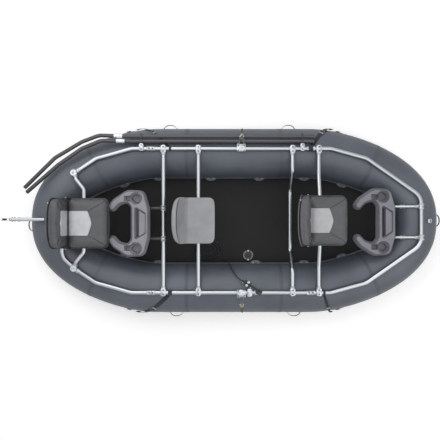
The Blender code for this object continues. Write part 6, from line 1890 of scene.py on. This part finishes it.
class RaftSettings(bpy.types.PropertyGroup):
    """The sizes and colours of the raft that a user may change."""

    hull_color: color_setting("Hull", "the tube's coated fabric", "#525660")
    floor_color: color_setting("Floor", "the drop-stitch floor", "#131514")
    vinyl_color: color_setting("Seat vinyl", "the folding seats' vinyl", "#4d4e51")
    stern_panel_color: color_setting("Stern seat panel", "the stern seat's middle panels", "#bebfc2")
    bow_panel_color: color_setting("Bow seat panel", "the bow seat's middle panels", "#b0b1b3")
    rower_seat_color: color_setting("Rower's seat", "the rower's moulded seat", "#8f9093")
    stern_tray_color: color_setting("Stern brace", "the stern standing brace", "#88878e")
    bow_tray_color: color_setting("Bow brace", "the bow standing brace", "#75757d")
    tape_width: bpy.props.FloatProperty(
        name="Seam tape", description="Width of the welded seam tapes", unit="LENGTH",
        min=0.01, max=0.08, default=0.034)
    seam_depth: bpy.props.FloatProperty(
        name="Sewn channel", description="Depth of the sewn channels in the pads", unit="LENGTH",
        min=0.001, max=0.01, default=0.0035)
    pad_pressure: bpy.props.FloatProperty(
        name="Stuffing", description="Pressure of the stuffing in the seats' pads",
        min=0.0, max=10.0, default=4.0)


class RaftPart(bpy.types.Operator):
    """Builds one group of the raft's visible pieces."""

    bl_idname = "raft.part"
    bl_label = "Raft Part"
    bl_options = {"REGISTER", "UNDO"}

    def execute(self, context):
        """Builds the group, and stops if nothing came of it."""
        before = len(bpy.data.objects)
        self.build(context, context.scene.raft)
        if len(bpy.data.objects) <= before:
            raise RuntimeError(f"{self.bl_label} made no piece")
        return {"FINISHED"}

    def build(self, context, settings):
        """Makes the pieces of this group."""
        raise NotImplementedError


class AddCameraAndRope(RaftPart):
    """Sets the camera, makes the materials and lays the anchor rope."""

    bl_idname = "raft.camera_and_rope"
    bl_label = "Camera and Rope"

    def build(self, context, settings):
        make_camera()
        make_finishes(settings)
        make_rope()


class AddStage(RaftPart):
    """Adds the floor, the white world and the soft lamps."""

    bl_idname = "raft.stage"
    bl_label = "Stage"

    def build(self, context, settings):
        context.scene.view_settings.view_transform = "Standard"
        make_world()
        make_studio_floor()
        make_lamps()


class AddHull(RaftPart):
    """Builds the tube with its tapes, rings and handles."""

    bl_idname = "raft.hull"
    bl_label = "Hull"

    def build(self, context, settings):
        make_hull(settings)


class AddFloor(RaftPart):
    """Builds the floor with its flange, eyelets and valve."""

    bl_idname = "raft.floor"
    bl_label = "Floor"

    def build(self, context, settings):
        make_floor_group()


class AddPipes(RaftPart):
    """Builds the frame's bent pipes and the rower's seat brackets."""

    bl_idname = "raft.pipes"
    bl_label = "Frame Pipes"

    def build(self, context, settings):
        make_pipes()
        make_rower_brackets()


class AddFittings(RaftPart):
    """Builds the cast fittings, their screws and the tray arms' pins."""

    bl_idname = "raft.fittings"
    bl_label = "Fittings"

    def build(self, context, settings):
        make_fittings()


class AddStraps(RaftPart):
    """Builds the tie-down straps and their buckles."""

    bl_idname = "raft.straps"
    bl_label = "Straps"

    def build(self, context, settings):
        make_straps()


class AddOarlocks(RaftPart):
    """Builds the oar stands and the oarlocks."""

    bl_idname = "raft.oarlocks"
    bl_label = "Oarlocks"

    def build(self, context, settings):
        make_oarlocks()


class AddAnchorGear(RaftPart):
    """Builds the anchor arm, the cam cleat and the deck pulley."""

    bl_idname = "raft.anchor_gear"
    bl_label = "Anchor Gear"

    def build(self, context, settings):
        make_arm()
        make_cleat()
        make_gear_clamps()
        make_pulley()


class AddRodHolder(RaftPart):
    """Builds the rod tubes, their tips and clamps."""

    bl_idname = "raft.rod_holder"
    bl_label = "Rod Holder"

    def build(self, context, settings):
        make_rod_holder()


class AddTrays(RaftPart):
    """Builds the two standing braces and the rower's seat."""

    bl_idname = "raft.trays"
    bl_label = "Braces and Rower's Seat"

    def build(self, context, settings):
        make_trays()
        make_rower_seat()


class AddBowSeat(RaftPart):
    """Builds the bow folding seat."""

    bl_idname = "raft.bow_seat"
    bl_label = "Bow Seat"

    def build(self, context, settings):
        make_seat("bow_seat", 0.79498, 0.0, "bow_panel", settings)


class AddSternSeat(RaftPart):
    """Builds the stern folding seat."""

    bl_idname = "raft.stern_seat"
    bl_label = "Stern Seat"

    def build(self, context, settings):
        make_seat("stern_seat", -1.39605, -0.025, "stern_panel", settings)


OPERATORS = (AddCameraAndRope, AddStage, AddHull, AddFloor, AddPipes, AddFittings, AddStraps, AddOarlocks,
             AddAnchorGear, AddRodHolder, AddTrays, AddBowSeat, AddSternSeat)


class RaftPanel(bpy.types.Panel):
    """The raft's sizes, colours and groups, in the 3D view's sidebar."""

    bl_idname = "VIEW3D_PT_raft"
    bl_label = "Fishing Raft"
    bl_space_type = "VIEW_3D"
    bl_region_type = "UI"
    bl_category = "Raft"

    def draw(self, context):
        """Lists the settings, then a button for each group."""
        for name in RaftSettings.__annotations__:
            self.layout.prop(context.scene.raft, name)
        for operator in OPERATORS:
            self.layout.operator(operator.bl_idname)


def register():
    """Adds the settings, the operators and the panel."""
    for kind in (RaftSettings, *OPERATORS, RaftPanel):
        bpy.utils.register_class(kind)
    bpy.types.Scene.raft = bpy.props.PointerProperty(type=RaftSettings)


def unregister():
    """Takes the settings, the operators and the panel away again."""
    del bpy.types.Scene.raft
    for kind in reversed((RaftSettings, *OPERATORS, RaftPanel)):
        bpy.utils.unregister_class(kind)


def main():
    """Runs every operator in turn."""
    register()
    for operator in OPERATORS:
        group, name = operator.bl_idname.split(".")
        if getattr(getattr(bpy.ops, group), name)() != {"FINISHED"}:
            raise RuntimeError(f"{operator.bl_label} didn't finish")


if __name__ == "__main__":
    main()
